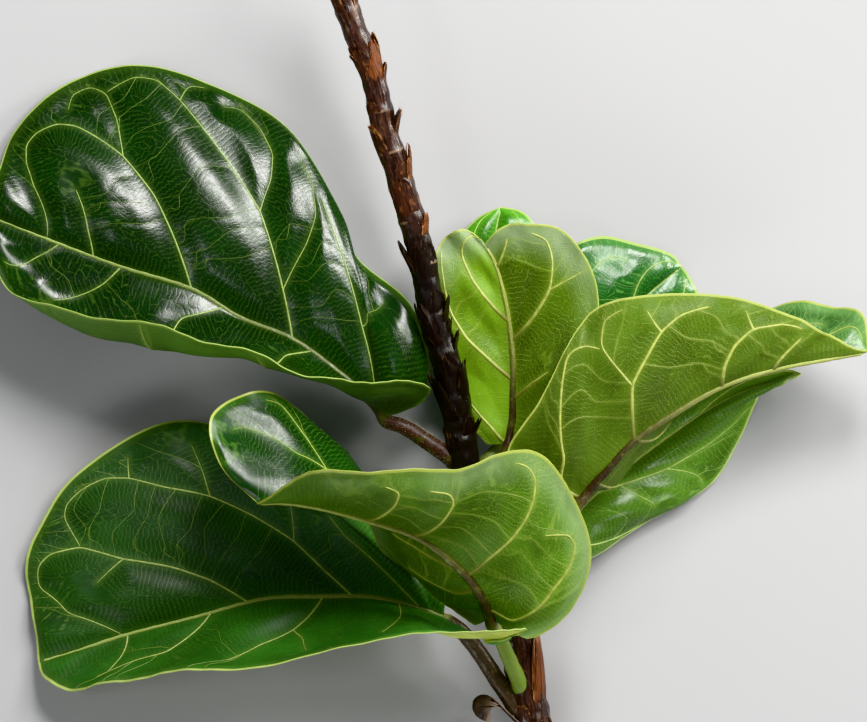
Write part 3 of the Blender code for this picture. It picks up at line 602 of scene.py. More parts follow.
# Bark, the cut through it, and the scales: what is at the bottom, dark and light, and what lies over it
BARK_DARK = (0.016, 0.009, 0.008)
BARK_LIGHT = (0.065, 0.030, 0.022)
BARK_FLECK = (0.16, 0.09, 0.06)
BARK_PATCH = (0.22, 0.14, 0.09)
# Painted shade: BARK_BLACK, SCALE_BLACK and THROUGH_BLACK lay the stem's middle stretch nearly black
BARK_BLACK = (0.005, 0.0035, 0.003)
BARK_CRACK = (0.006, 0.004, 0.003)
SCAR = (0.30, 0.20, 0.14)
WART = (0.26, 0.17, 0.11)
WOOD_DARK = (0.42, 0.33, 0.18)
WOOD_LIGHT = (0.62, 0.52, 0.32)
PITH = (0.30, 0.19, 0.09)
CAMBIUM = (0.20, 0.26, 0.06)
RIND = (0.06, 0.035, 0.022)
SCALE_DARK = (0.018, 0.009, 0.008)
SCALE_LIGHT = (0.085, 0.032, 0.018)
SCALE_SPOT = (0.30, 0.12, 0.045)
SCALE_YOUNG = (0.30, 0.10, 0.035)
SCALE_FOOT = (0.02, 0.01, 0.008)
# Painted shade over the stem's middle stretch
SCALE_BLACK = (0.006, 0.004, 0.0035)
SCALE_LIP = (0.50, 0.27, 0.13)
BRISTLE = (0.30, 0.19, 0.12)
CURL_DARK = (0.008, 0.006, 0.005)
CURL_LIGHT = (0.10, 0.075, 0.06)
CURL_LIP = (0.24, 0.18, 0.14)
THROUGH_SCALE = (0.5, 0.2, 0.06)
# Painted shade: darker light through the scales over the stem's middle stretch
THROUGH_BLACK = (0.01, 0.006, 0.005)


def spline(rows, t):
    """The smooth curve through rows, at t rows from the first, for one t or an array of them."""
    rows = np.asarray(rows, float)
    last = len(rows) - 1
    t = np.clip(np.asarray(t, float), 0.0, last)
    i = np.minimum(t.astype(int), last - 1)
    f = (t - i)[..., None]
    ends = np.concatenate([[2 * rows[0] - rows[1]], rows, [2 * rows[-1] - rows[-2]]])
    before, here, there, after = (ends[i + k] for k in range(4))
    return (
        (2 * f**3 - 3 * f**2 + 1) * here
        + (f**3 - 2 * f**2 + f) * (there - before) / 2
        + (3 * f**2 - 2 * f**3) * there
        + (f**3 - f**2) * (after - here) / 2
    )


def unit(v):
    return v / np.maximum(np.linalg.norm(v, axis=-1, keepdims=True), 1e-9)


def distances(points):
    """The way along points from the first to each."""
    gaps = np.linalg.norm(np.diff(points, axis=0), axis=1)
    return np.concatenate([[0.0], np.cumsum(gaps)])


def sampled(places, ways, points):
    """Columns of points, read off at places on the ways to them."""
    return np.stack([np.interp(places, ways, column) for column in points.T], -1)


def even_out(points, times):
    """Smooths a row of points in place, with its ends kept."""
    for _ in range(times):
        points[1:-1] = (points[:-2] + 2 * points[1:-1] + points[2:]) / 4


def smooth(value, low, high):
    """0 below low, 1 above high, and an S-shaped way between."""
    x = np.clip((np.asarray(value, float) - low) / (high - low), 0, 1)
    return x * x * (3 - 2 * x)


def seen(points):
    """Where the camera shows points of the plan, in the photograph's pixels."""
    near = CAMERA_HEIGHT / (CAMERA_HEIGHT + CAMERA_LEVEL - points[..., 2])
    across = PHOTO[0] / 2 + points[..., 0] * near / PIXEL
    down = PHOTO[1] / 2 - points[..., 1] * near / PIXEL
    return np.stack([across, down], -1)


class Blade:
    """The surface of a leaf's blade: t rows from its foot, side -1 for left or 1 for right, and w from midrib
    (0) to margin (1)."""

    def __init__(self, leaf):
        rows = (*leaf.rows, (leaf.tip, (*leaf.tip, 0), (*leaf.tip, 0)))
        self.rows = np.array([(*mid, *left, *right) for mid, left, right in rows], float)
        self.last = len(leaf.rows)
        self.marks = {-1: leaf.left_veins, 1: leaf.right_veins}

    def midrib(self, t):
        return spline(self.rows, t)[..., :3]

    def ahead(self, t):
        return unit(self.midrib(np.asarray(t) + 2) - self.midrib(np.asarray(t) - 1))

    def vein_count(self, t, side):
        """How many side veins lie below t, with the part of the way to the next."""
        left, right = (
            np.interp(t, (0.0, *self.marks[half], self.last), range(len(self.marks[half]) + 2))
            for half in (-1, 1)
        )
        return np.where(side < 0, left, right)

    def point(self, t, side, w):
        t, side, w = np.broadcast_arrays(np.asarray(t, float), side, np.asarray(w, float))
        row = spline(self.rows, t)
        t, side, w = t[..., None], side[..., None], w[..., None]
        half = np.where(side < 0, row[..., 3:7], row[..., 7:11])
        chord = half[..., :3] - row[..., :3]
        length = np.linalg.norm(chord, axis=-1, keepdims=True)
        ahead = self.ahead(t[..., 0])
        normal = unit(np.cross(ahead, chord)) * -side
        arch = 4 * w * (1 - w)
        turns = self.vein_count(t, side)
        swell = QUILT_HEIGHT * np.sin(math.pi * turns) ** 2 * arch
        wave = WAVE_HEIGHT * w**3 * np.sin(2 * math.pi * turns)
        ruffle = RUFFLE_HEIGHT * w**6 * np.sin(2 * math.pi * RUFFLES * t + side)
        fade = np.minimum(1.0, length / FADE_WIDTH)
        return (
            row[..., :3]
            + w * chord
            - SWEEP * arch * length * ahead
            + (half[..., 3:] * arch + (swell + wave + ruffle) * fade) * normal
        )

    def normal(self, t, side, w, reach=0.02):
        """The direction that the upper side faces."""
        t, side, w = np.broadcast_arrays(np.asarray(t, float), side, np.asarray(w, float))
        along = self.point(t + reach, side, w) - self.point(t - reach, side, w)
        across = self.point(t, side, np.minimum(w + reach, 1)) - self.point(t, side, np.maximum(w - reach, 0))
        return unit(np.cross(across, along)) * side[..., None]

    def ridge_normal(self, t):
        """The upper direction at the midrib, midway between those of the halves."""
        return unit(self.normal(t, -1, 0.02) + self.normal(t, 1, 0.02))

    def width(self, t, side):
        return np.linalg.norm(self.point(t, side, 1.0) - self.midrib(t), axis=-1)

    def locate(self, pixel, side):
        """The (t, w) of the half's place that the camera shows at a pixel, found in ever finer grids."""
        t, w, t_reach, w_reach = self.last / 2, 0.5, self.last / 2, 0.5
        for count in (90, 11, 11, 11):
            ts = np.clip(t + t_reach * np.linspace(-1, 1, count), 0.2, self.last - 0.05)
            ws = np.clip(w + w_reach * np.linspace(-1, 1, count), 0.0, VEIN_LIMIT)
            ts, ws = (grid.ravel() for grid in np.meshgrid(ts, ws))
            away = seen(self.point(ts, side, ws)) - pixel
            best = np.argmin((away**2).sum(axis=1))
            t, w = ts[best], ws[best]
            t_reach, w_reach = t_reach * 2.2 / count, w_reach * 2.2 / count
        return t, w


class Vein:
    """A side vein, a branch or a rung: its (t, w) points on one half of a blade, and how broad it is."""

    def __init__(self, blade, side, route, share):
        route = np.asarray(route, float)
        fine = sampled(np.linspace(0, len(route) - 1, 12 * len(route)), range(len(route)), route)
        far = distances(blade.point(fine[:, 0], side, fine[:, 1]))
        self.length = far[-1]
        count = max(4, int(self.length / VEIN_STEP))
        fine = sampled(np.linspace(0, self.length, count), far, fine)
        even_out(fine, 3 if share >= BRANCH_SHARE else 2)
        self.t, self.w = fine[:, 0], np.clip(fine[:, 1], 0, VEIN_LIMIT)
        self.side = side
        self.share = share
        self.points = blade.point(self.t, side, self.w)
        self.normals = blade.normal(self.t, side, self.w)
        self.lift = np.zeros(count)

    def place(self, i):
        return self.t[i], self.w[i]


def ruled_veins(blade, side):
    """The side veins of a half that the photograph doesn't show: each leaves the midrib, leans to the tip and
    loops to the next."""
    marks = blade.marks[side]
    routes = [[(marks[0] * lean, w) for lean, w in FOOT_LEANS]]
    for mark, after in zip(marks, (*marks[1:], blade.last - 0.3)):
        routes.append([(mark + (after - mark) * lean, w) for lean, w in LEANS])
    return routes


def find_veins(name, blade, side):
    """All veins of a half but the finest net: side veins, then branches, then rungs, then twigs."""
    pictured = SEEN_VEINS.get((name, side), ())
    mains = [] if pictured else [Vein(blade, side, route, 1.0) for route in ruled_veins(blade, side)]
    branches, found = [], {}
    for pixels in pictured:
        branch = pixels[0] in found
        for pixel in pixels:
            if pixel not in found:
                found[pixel] = blade.locate(pixel, side)
        route = [found[pixel] for pixel in pixels]
        if branch:
            branches.append(Vein(blade, side, route, BRANCH_SHARE))
        else:
            mains.append(Vein(blade, side, [(route[0][0], 0.0), *route[1:]], 1.0))
    mains.sort(key=lambda vein: vein.t[0])
    return [*mains, *branches, *rungs(blade, side, mains), *twigs(blade, side, mains + branches)]


def bent(draw, start, end):
    """A thin vein's route from start to end with two kinks."""
    start, end = np.array(start), np.array(end)
    parts = (draw.uniform(0.25, 0.4), draw.uniform(0.6, 0.75))
    aside = np.array((2.0, 1.0)) * draw.choice((-1, 1))
    kinks = [aside * sign * draw.uniform(0.2, 1) * JITTER for sign in (1, -1)]
    return [start, *(start + (end - start) * part + kink for part, kink in zip(parts, kinks)), end]


def rungs(blade, side, mains):
    """Thin bent veins from each side vein over to the next, some of them forked."""
    draw = random.Random(SEED)
    made = []
    for low, high in zip(mains, mains[1:]):
        way = RUNG_SPACING * draw.uniform(0.6, 1.0)
        last = 0
        while way < low.length * RUNG_END:
            i = int(way / low.length * (len(low.t) - 1))
            away = np.linalg.norm(high.points - low.points[i], axis=1)
            j = min(int(np.argmin(away)) + draw.randrange(0, 3), len(high.t) - 1)
            way += RUNG_SPACING * draw.uniform(0.7, 1.35)
            if not RUNG_REACH[0] < away[j] < RUNG_REACH[1] or j < last + 4:
                continue
            route = bent(draw, low.place(i), high.place(j))
            made.append(Vein(blade, side, route, RUNG_SHARE))
            if draw.random() < FORK_CHANCE and last + 4 < j:
                fork = bent(draw, route[2], high.place((last + j) // 2))
                made.append(Vein(blade, side, fork, RUNG_SHARE * 0.8))
            last = j
    return made


def twigs(blade, side, veins):
    """Thin veins from the outer ones to the margin."""
    draw = random.Random(SEED + 1)
    made = []
    for vein in veins:
        way = TWIG_SPACING * draw.uniform(0.3, 1.0)
        while way < vein.length:
            t, w = vein.place(int(way / vein.length * (len(vein.t) - 1)))
            way += TWIG_SPACING * draw.uniform(0.7, 1.4)
            others = [other for other in veins if other is not vein]
            outer = [np.any((abs(other.t - t) < 0.25) & (other.w > w + 0.03)) for other in others]
            span = (1 - w) * float(blade.width(t, side))
            if w < TWIG_START or any(outer) or not TWIG_REACH[0] < span < TWIG_REACH[1]:
                continue
            route = bent(draw, (t, w), (t + draw.uniform(-0.15, 0.25), 0.97))
            made.append(Vein(blade, side, route, RUNG_SHARE * 0.9))
    return made


class Shape:
    """The points and faces of a piece as they are gathered, with numbers at each point for its materials and
    for its bake map."""

    def __init__(self, *values):
        self.values = {value: [] for value in (*values, "bake_u", "bake_v")}
        self.points, self.faces, self.slots = [], [], []
        self.count = 0

    def add(self, points, faces, slot=0, **values):
        self.points.append(points)
        self.faces += (np.asarray(faces) + self.count).tolist()
        self.slots += [slot] * len(faces)
        for name, gathered in self.values.items():
            gathered.append(np.broadcast_to(values.get(name, 0.0), len(points)))
        self.count += len(points)

    def sheet(self, points, slot=0, flip=False, **values):
        """A grid of points with its quads, which face the other way where flip is set."""
        rows, columns = points.shape[:2]
        i, j = (index.ravel() for index in np.mgrid[: rows - 1, : columns - 1])
        faces = i[:, None] * columns + j[:, None] + (0, 1, columns + 1, columns)
        values = {name: np.broadcast_to(value, (rows, columns)).ravel() for name, value in values.items()}
        self.add(points.reshape(-1, 3), faces[:, ::-1] if flip else faces, slot, **values)

    def piece(self, name, materials):
        """The object, in metres in the frame, with each number as an attribute of its points."""
        mesh = bpy.data.meshes.new(name)
        points = (np.concatenate(self.points) + HOME) * MM
        points[:, 2] = np.maximum(points[:, 2], 0)
        mesh.from_pydata(points.tolist(), [], self.faces)
        numbers = {}
        for value, gathered in self.values.items():
            numbers[value] = np.concatenate(gathered).astype(np.float32)
            mesh.attributes.new(value, "FLOAT", "POINT").data.foreach_set("value", numbers[value])
        corners = np.empty(len(mesh.loops), np.int32)
        mesh.loops.foreach_get("vertex_index", corners)
        places = np.stack([numbers["bake_u"][corners], numbers["bake_v"][corners]], 1)
        mesh.uv_layers.new(name="OFBake").data.foreach_set("uv", places.ravel())
        mesh.polygons.foreach_set("material_index", np.array(self.slots, np.int32))
        for material in materials:
            mesh.materials.append(material)
        mesh.shade_smooth()
        obj = bpy.data.objects.new(name, mesh)
        bpy.context.scene.collection.objects.link(obj)
        return obj


def blade_grid(blade):
    """t, side and w of the blade's fine grid, line by line, each from the left margin to the right one."""
    t = np.linspace(FOOT_LINE, blade.last - TIP_LINE, 800)
    steps = [np.diff(distances(blade.point(t, side, w))) for side, w in ((-1, 0.0), (-1, 1.0), (1, 1.0))]
    far = np.concatenate([[0.0], np.cumsum(np.max(steps, axis=0))])
    lines = np.interp(np.linspace(0, far[-1], int(far[-1] / LINE_STEP) + 2), far, t)
    left, right = (
        np.linspace(0, 1, int(blade.width(lines, side).max() / COLUMN_STEP) + 2) for side in (-1, 1)
    )
    w = np.concatenate([left[::-1], right[1:]])
    side = np.repeat((-1, 1), (len(left), len(right) - 1))
    return np.broadcast_arrays(lines[:, None], side, w)


def nearest(points, places):
    """For each point, which of the places is nearest and how far off it is."""
    tree = kdtree.KDTree(len(places))
    for i, place in enumerate(places):
        tree.insert(place, i)
    tree.balance()
    found = [tree.find(point)[1:] for point in points.reshape(-1, 3)]
    return (np.array(numbers).reshape(points.shape[:-1]) for numbers in zip(*found))


def vein_places(blade, veins):
    """Points of the midrib, side veins and branches, how far along its vein each is, and whose it is."""
    lines = [blade.midrib(np.linspace(0, blade.last, 300))]
    lines += [vein.points for vein in veins if vein.share >= BRANCH_SHARE]
    ways = np.concatenate([distances(line) for line in lines])
    owners = np.concatenate([np.full(len(line), i) for i, line in enumerate(lines)])
    return np.concatenate(lines), ways, owners


def seams(step, owner):
    """1 where the nearest vein or the place along it jumps between a grid point and a neighbour, else 0."""
    found = np.zeros(step.shape, bool)
    for axis in (0, 1):
        jump = (np.abs(np.diff(step, axis=axis)) > SEAM_JUMP) | (np.diff(owner, axis=axis) != 0)
        for shift in (0, 1):
            ends = [slice(None), slice(None)]
            ends[axis] = slice(shift, step.shape[axis] - 1 + shift)
            found[tuple(ends)] |= jump
    return found.astype(float)


def pucker(main, edge):
    """How far the blade stands up, by the distances to the nearest great vein and to the margin."""
    return PUCKER_HEIGHT * smooth(main, 0.3, PUCKER_REACH) * smooth(edge, 0, FLAT_MARGIN)


def lift_veins(blade, veins, places):
    """Sets how high each thin vein lies on the puckers between the great ones."""
    for vein in veins:
        if vein.share < BRANCH_SHARE:
            _, main = nearest(vein.points, places)
            vein.lift = pucker(main, (1 - vein.w) * blade.width(vein.t, vein.side))


def net_places(blade, points, t, side, w):
    """Where each grid point lies if the blade were rolled out flat: across the midrib and along it, 0 in the
    middle of the blade."""
    across = side * w * blade.width(t, side)
    steps = np.linalg.norm(np.diff(points, axis=0), axis=-1)
    along = np.concatenate([np.zeros((1, t.shape[1])), np.cumsum(steps, axis=0)])
    return across, along - along[len(along) // 2]


def blade_piece(name, blade, veins, materials):
    """The blade as two sheets with a rounded rim: the upper one puckers up between the veins."""
    t, side, w = blade_grid(blade)
    points = blade.point(t, side, w)
    normals = blade.normal(t, side, w)
    middle = int(np.argmin(w[0]))
    normals[:, middle] = blade.ridge_normal(t[:, middle])
    places, ways, owners = vein_places(blade, veins)
    lift_veins(blade, veins, places)
    which, main = nearest(points, places)
    _, near = nearest(points, np.concatenate([places, *(vein.points for vein in veins)]))
    step = ways[which] + OWNER_STEP * owners[which]
    margins = points[:, np.where(side[0] > 0, -1, 0)]
    edge = (1 - w) * np.linalg.norm(margins - points[:, [middle]], axis=-1)
    across, along = net_places(blade, points, t, side, w)
    up = pucker(main, edge)
    up = up + DIMPLE_HEIGHT * smooth(near, 0.3, DIMPLE_REACH) * smooth(edge, 0, FLAT_MARGIN)
    thickness = MARGIN_THICKNESS + (BLADE_THICKNESS - MARGIN_THICKNESS) * smooth(edge, 0, THIN_MARGIN)
    upper = points + normals * up[..., None]
    under = points + normals * (up - thickness)[..., None]
    u = 0.04 + 0.92 * np.linspace(0, 1, t.shape[1])
    v = 0.01 + 0.47 * np.linspace(0, 1, t.shape[0])[:, None]
    values = {"across": across, "along": along, "near": near, "main": main, "step": step}
    values |= {"seam": seams(step, owners[which]), "edge": edge, "bake_u": u}
    shape = Shape("across", "along", "near", "main", "step", "seam", "edge")
    shape.sheet(upper, 0, bake_v=v, **values)
    shape.sheet(under, 1, True, bake_v=1 - v, **values)
    for column, inner in ((0, 1), (-1, -2)):
        rim(shape, upper[:, column], under[:, column], points[:, column] - points[:, inner], column == 0)
    for line in (0, -1):
        shape.sheet(np.stack([upper[line], under[line]]), 1, line == 0, bake_u=u, bake_v=[[0.495], [0.505]])
    return shape.piece(name, materials)


def rim(shape, upper, under, outward, left):
    """The rounded bead along a margin."""
    centre = (upper + under) / 2
    half = (upper - under) / 2
    out = unit(outward) * RIM_BULGE
    turns = np.linspace(math.pi / 2, -math.pi / 2, RIM_TURNS)
    points = np.stack([centre + math.sin(a) * half + math.cos(a) * out for a in turns], 1)
    u = np.linspace(0.0, 0.03, RIM_TURNS)
    v = np.linspace(0.01, 0.99, len(points))[:, None]
    shape.sheet(points, 2, left, bake_u=u if left else 1 - u, bake_v=v)


def ribbon(shape, vein, under, cell, cells):
    """A vein as a low rounded ridge on the upper side, or as a cord underneath, in a cell of the bake map."""
    first, last = VEIN_UNDER if under else VEIN_TOP
    part = np.linspace(0, 1, len(vein.t))
    half = vein.share * (first + (last - first) * part**0.8)
    half *= np.sqrt(np.clip((1 - part) * vein.length / 2.0 + 0.25, 0, 1))
    side = unit(np.cross(unit(np.gradient(vein.points, axis=0)), vein.normals))
    base = vein.lift + (-BLADE_THICKNESS + UNDER_SINK if under else 0.0)
    height = -UNDER_RISE * half if under else TOP_RISE[0] + TOP_RISE[1] * half
    turns = np.linspace(-1, 1, 7 if vein.share >= BRANCH_SHARE else 5)
    aside = (half[:, None] * turns)[..., None]
    lift = (base[:, None] + height[:, None] * np.sqrt(1 - turns**2))[..., None]
    points = vein.points[:, None] + side[:, None] * aside + vein.normals[:, None] * lift
    u = (cell % cells + 0.1 + 0.8 * (turns + 1) / 2) / cells
    v = (cell // cells + 0.1 + 0.8 * part[:, None]) / cells
    start = smooth(vein.w, 0.0, 0.5)[:, None]
    shape.sheet(points, int(under), under, out=start, fine=1 - vein.share, bake_u=u, bake_v=v)


def vein_piece(name, veins, materials):
    """All side veins of a leaf, on its upper side and underneath."""
    shape = Shape("out", "fine")
    cells = math.ceil(math.sqrt(2 * len(veins)))
    for i, vein in enumerate(veins):
        ribbon(shape, vein, False, 2 * i, cells)
        ribbon(shape, vein, True, 2 * i + 1, cells)
    return shape.piece(name, materials)


def cord(shape, points, radii, up, part):
    """A round cord through points with faint ridges along it, closed to a point at its end."""
    along = unit(np.gradient(points, axis=0))
    ups = []
    for direction in along:
        up = unit(up - direction * np.dot(up, direction))
        ups.append(up)
    right = np.cross(along, ups)[:, None]
    turns = np.linspace(math.pi, -math.pi, RIB_SIDES + 1)
    way = distances(points)[:, None]
    relief = RIDGE_HEIGHT * np.sin(7 * turns + 0.05 * way) + KNOB_HEIGHT * np.sin(0.9 * way + 3 * turns)
    out = np.cos(turns)[:, None] * np.array(ups)[:, None] + np.sin(turns)[:, None] * right
    ring = points[:, None] + (radii[:, None] + relief)[..., None] * out
    u = np.linspace(0, 1, RIB_SIDES + 1)
    shape.sheet(ring, bake_u=u, bake_v=way / way[-1], top=np.cos(turns), way=way, part=part[:, None])


def rib_line(leaf, blade):
    """The petiole and the midrib under the blade as points, radii, how far along each is (0 at the stem, 1 at
    the blade's foot, 2 at its tip) and the upper direction at the foot."""
    first = RIB_SHARE * leaf.petiole_radius
    steps = np.linspace(0, 1, 30)[:-1]
    foot = blade.midrib(0) - blade.ridge_normal(FOOT_LINE) * first * MIDRIB_SINK
    petiole = spline([*leaf.petiole, foot], steps * len(leaf.petiole))
    radii = leaf.petiole_radius + (first - leaf.petiole_radius) * steps
    radii = radii * (1 + PETIOLE_FLARE * np.exp(-((distances(petiole) / FLARE_LENGTH) ** 2)))
    t = np.concatenate([[0.0], np.linspace(1.0, blade.last - RIB_END, 160)])
    under = first + (MIDRIB_END_RADIUS - first) * (t / blade.last) ** RIB_TAPER
    normal = blade.ridge_normal(np.maximum(t, FOOT_LINE))
    midrib = blade.midrib(t) - normal * (under * MIDRIB_SINK)[:, None]
    way = distances(midrib)
    under = under * (1 + MIDRIB_SWELL * smooth(way, 0, 10))
    part = np.concatenate([steps, 1 + way / way[-1]])
    return np.concatenate([petiole, midrib]), np.concatenate([radii, under]), part, normal[0]


def rib_piece(name, leaf, blade, hairs, materials):
    """Petiole and midrib as a round cord, with fine hairs on the petiole."""
    points, radii, part, up = rib_line(leaf, blade)
    way = distances(points)
    fine = np.linspace(0, way[-1], int(way[-1] / RIB_STEP))
    points = sampled(fine, way, points)
    even_out(points, 4)
    radii = np.interp(fine, way, radii)
    part = np.interp(fine, way, part)
    radii[-1] = 0.05
    shape = Shape("top", "way", "part", "hair")
    cord(shape, points, radii, up, part)
    draw = random.Random(SEED)
    foot = int(np.searchsorted(part, 1.02))
    for _ in range(hairs):
        i = draw.randrange(3, foot)
        along = unit(points[i + 1] - points[i - 1])
        side = unit(np.cross(along, [draw.uniform(-1, 1) for _ in range(3)]))
        root = points[i] + along * draw.uniform(-1, 1) + side * radii[i] * 0.97
        tip = root + (side + along * draw.uniform(-0.5, 0.9)) * draw.uniform(*HAIR_LENGTH)
        hair(shape, root, tip, HAIR_RADIUS, part[i])
    return shape.piece(name, materials)


def hair(shape, root, tip, radius, part=0.0):
    """A three-sided spike."""
    along = unit(tip - root)
    right = unit(np.cross(along, (0.3, 0.5, 0.8)))
    up = np.cross(along, right)
    turns = [2 * math.pi * k / 3 for k in range(3)]
    ring = [root + radius * (math.cos(a) * right + math.sin(a) * up) for a in turns]
    faces = [(0, 1, 3, 3), (1, 2, 3, 3), (2, 0, 3, 3)]
    shape.add([*ring, tip], faces, hair=1.0, part=part, bake_u=0.5, bake_v=0.02)


class StemPath:
    """The stem's axis by distance from its foot."""

    def __init__(self):
        steps = np.linspace(0, len(STEM) - 1, PATH_POINTS * len(STEM))
        self.line = spline(STEM, steps)
        self.distance = distances(self.line[:, :3])
        self.length = self.distance[-1]

    def at(self, distance):
        """The axis as x, y, z and the stem's radius there."""
        return sampled(distance, self.distance, self.line)

    def along(self, distance):
        return unit(self.at(distance + PATH_REACH)[..., :3] - self.at(distance - PATH_REACH)[..., :3])

    def outward(self, distance, turn):
        """The direction off the axis at an angle in radians, 0 on top and a quarter turn on the right."""
        along = self.along(distance)
        right = unit(np.cross(along, (0.0, 0.0, 1.0)))
        up = np.cross(right, along)
        return np.cos(turn)[..., None] * up + np.sin(turn)[..., None] * right


def rings(distance):
    """1 on a leaf scar's ring, 0 away from them."""
    away = (np.asarray(distance)[..., None] - NODES) / RING_HALF_LENGTH
    return np.minimum(np.exp(-(away**2)).sum(axis=-1), 1.0)


def bark_relief(distance, turn, radius):
    """How far the bark stands out by each of BARK_GRAIN."""
    found = np.empty(distance.shape)
    for index in np.ndindex(distance.shape):
        x = math.cos(turn[index]) * radius[index]
        y = math.sin(turn[index]) * radius[index]
        found[index] = sum(
            height * noise.noise(Vector((x * across + aside, y * across, distance[index] * along)))
            for height, across, along, aside in BARK_GRAIN
        )
    return found


def cut_face(shape, edge, turns, cut):
    """The cut face with its year's rings, inside an edge of points; cut is the direction it was cut in."""
    core = np.linspace(0, 1, CUT_RINGS)[:, None]
    centre = edge[:-1].mean(axis=0)
    disc = centre + core[..., None] * (edge - centre)
    disc = disc - cut * (CUT_RELIEF * np.sin(core * 24) * (1 - core))[..., None]
    u = 0.06 + 0.05 * core * np.cos(turns)
    v = 0.055 + 0.05 * core * np.sin(turns)
    shape.sheet(disc, 1, core=core, bake_u=u, bake_v=v)


def bark_piece(path, materials):
    """The stem's bark with its leaf scars, the cut face at its foot and the closed top."""
    steps = np.linspace(0, path.length, int(path.length / STEM_STEP))
    turns = np.linspace(-math.pi, math.pi, STEM_SIDES + 1)
    distance, turn = np.meshgrid(steps, turns, indexing="ij")
    along = path.along(FOOT_CUT_AT)
    cut = np.array(Matrix.Rotation(FOOT_CUT_ANGLE, 3, "X") @ Vector(along))
    lean = (path.outward(np.full_like(turn, FOOT_CUT_AT), turn) @ cut) / float(along @ cut)
    start = FOOT_CUT_AT - STEM[0][3] * lean
    distance = np.where(distance < FOOT_FADE, start + distance / FOOT_FADE * (FOOT_FADE - start), distance)
    place = path.at(distance)
    radius = place[..., 3]
    ring = rings(distance)
    relief = bark_relief(distance, turn, radius)
    relief *= smooth(distance - start, 0, 3) * smooth(path.length - distance, 0, 8)
    out = path.outward(distance, turn)
    points = place[..., :3] + out * (radius + RING_HEIGHT * ring + relief)[..., None]
    shape = Shape("way", "turn", "ring", "relief", "core")
    u = np.linspace(0, 1, len(turns))
    v = 0.12 + 0.88 * np.linspace(0, 1, len(steps))[:, None]
    shape.sheet(points, way=distance, turn=turn, ring=ring, relief=relief, bake_u=u, bake_v=v)
    cut_face(shape, points[0], turns, cut)
    top = path.at(path.length)[:3] + path.along(path.length) * TOP_CAP
    cap = np.stack([points[-1], np.broadcast_to(top, points[-1].shape)])
    shape.sheet(cap, way=path.length, bake_u=0.5, bake_v=0.999)
    return shape.piece("stem_bark", materials)


def curled(scale, reach):
    """Where a curled scale runs: distance along the stem, height off the bark, and angle to the stem."""
    way = np.linspace(0, 1, 60)
    start, end = np.radians(CURL_TURN)
    heading = start + (end - start) * smooth(way, 0.35, 1.0)
    step = CURL_LENGTH * (way[1] - way[0])
    along = np.concatenate([[0], np.cumsum(np.cos(heading[1:]) * step)])
    lift = np.concatenate([[0], np.cumsum(np.sin(heading[1:]) * step)])
    along, lift, heading = (np.interp(reach, way, values) for values in (along, lift, heading))
    return scale.foot + CURL_START + along, lift - SCALE_ROOT * (1 - reach) ** 3, heading[..., None]


def scale_surface(path, scale, curls, u, side, draw):
    """The middle of a scale's thickness, with a torn tip and frayed sides: its points, the outward direction,
    how loose it is, and how far each point is from its foot, as a share of its length."""
    torn = np.array([draw.uniform(0, 1) ** 2 for _ in side[0]])
    torn = TEAR * draw.uniform(0.3, 1.5) * torn * (0.35 + side[0] ** 2)
    frayed = np.array([draw.uniform(0, 1) for _ in side])[:, None]
    reach = u * (1 - torn)
    distance = scale.foot + reach * scale.length
    radius = path.at(distance)[..., 3]
    narrow = (1 - SCALE_NARROWING * reach**1.5) * (1 - 0.5 * reach**8) * (1 - 0.14 * frayed * u)
    half_angle = SCALE_SPREAD * scale.width / 2 / radius * narrow
    middle = math.radians(scale.angle)
    turn = middle + side * half_angle + 0.1 * math.sin(scale.foot) * reach
    loose = 1 - (1 - HUG) * float(smooth(math.cos(middle), 0.3, 0.8)) * (scale.foot > HUG_FROM)
    waves = 0.3 * np.sin(3.1 * side + 5 * reach + scale.foot) * reach
    waves = waves + draw.uniform(-0.3, 0.9) * side**2 * reach
    lift = SCALE_LIFT - SCALE_ROOT * (1 - reach) ** 3
    lift = lift + loose * (scale.flare * reach**2 * (1 - 0.4 * reach**4) + waves)
    heading = 0.0
    if curls:
        distance, lift, heading = curled(scale, reach)
        half_angle = half_angle * CURL_WIDTH * (1 - 0.6 * reach) * radius / (radius + lift.clip(0))
        turn = np.radians(scale.angle + 8 * reach) + side * half_angle
    out = path.outward(distance, turn)
    normal = np.cos(heading) * out - np.sin(heading) * path.along(distance)
    return path.at(distance)[..., :3] + out * (radius + lift)[..., None], normal, loose, reach


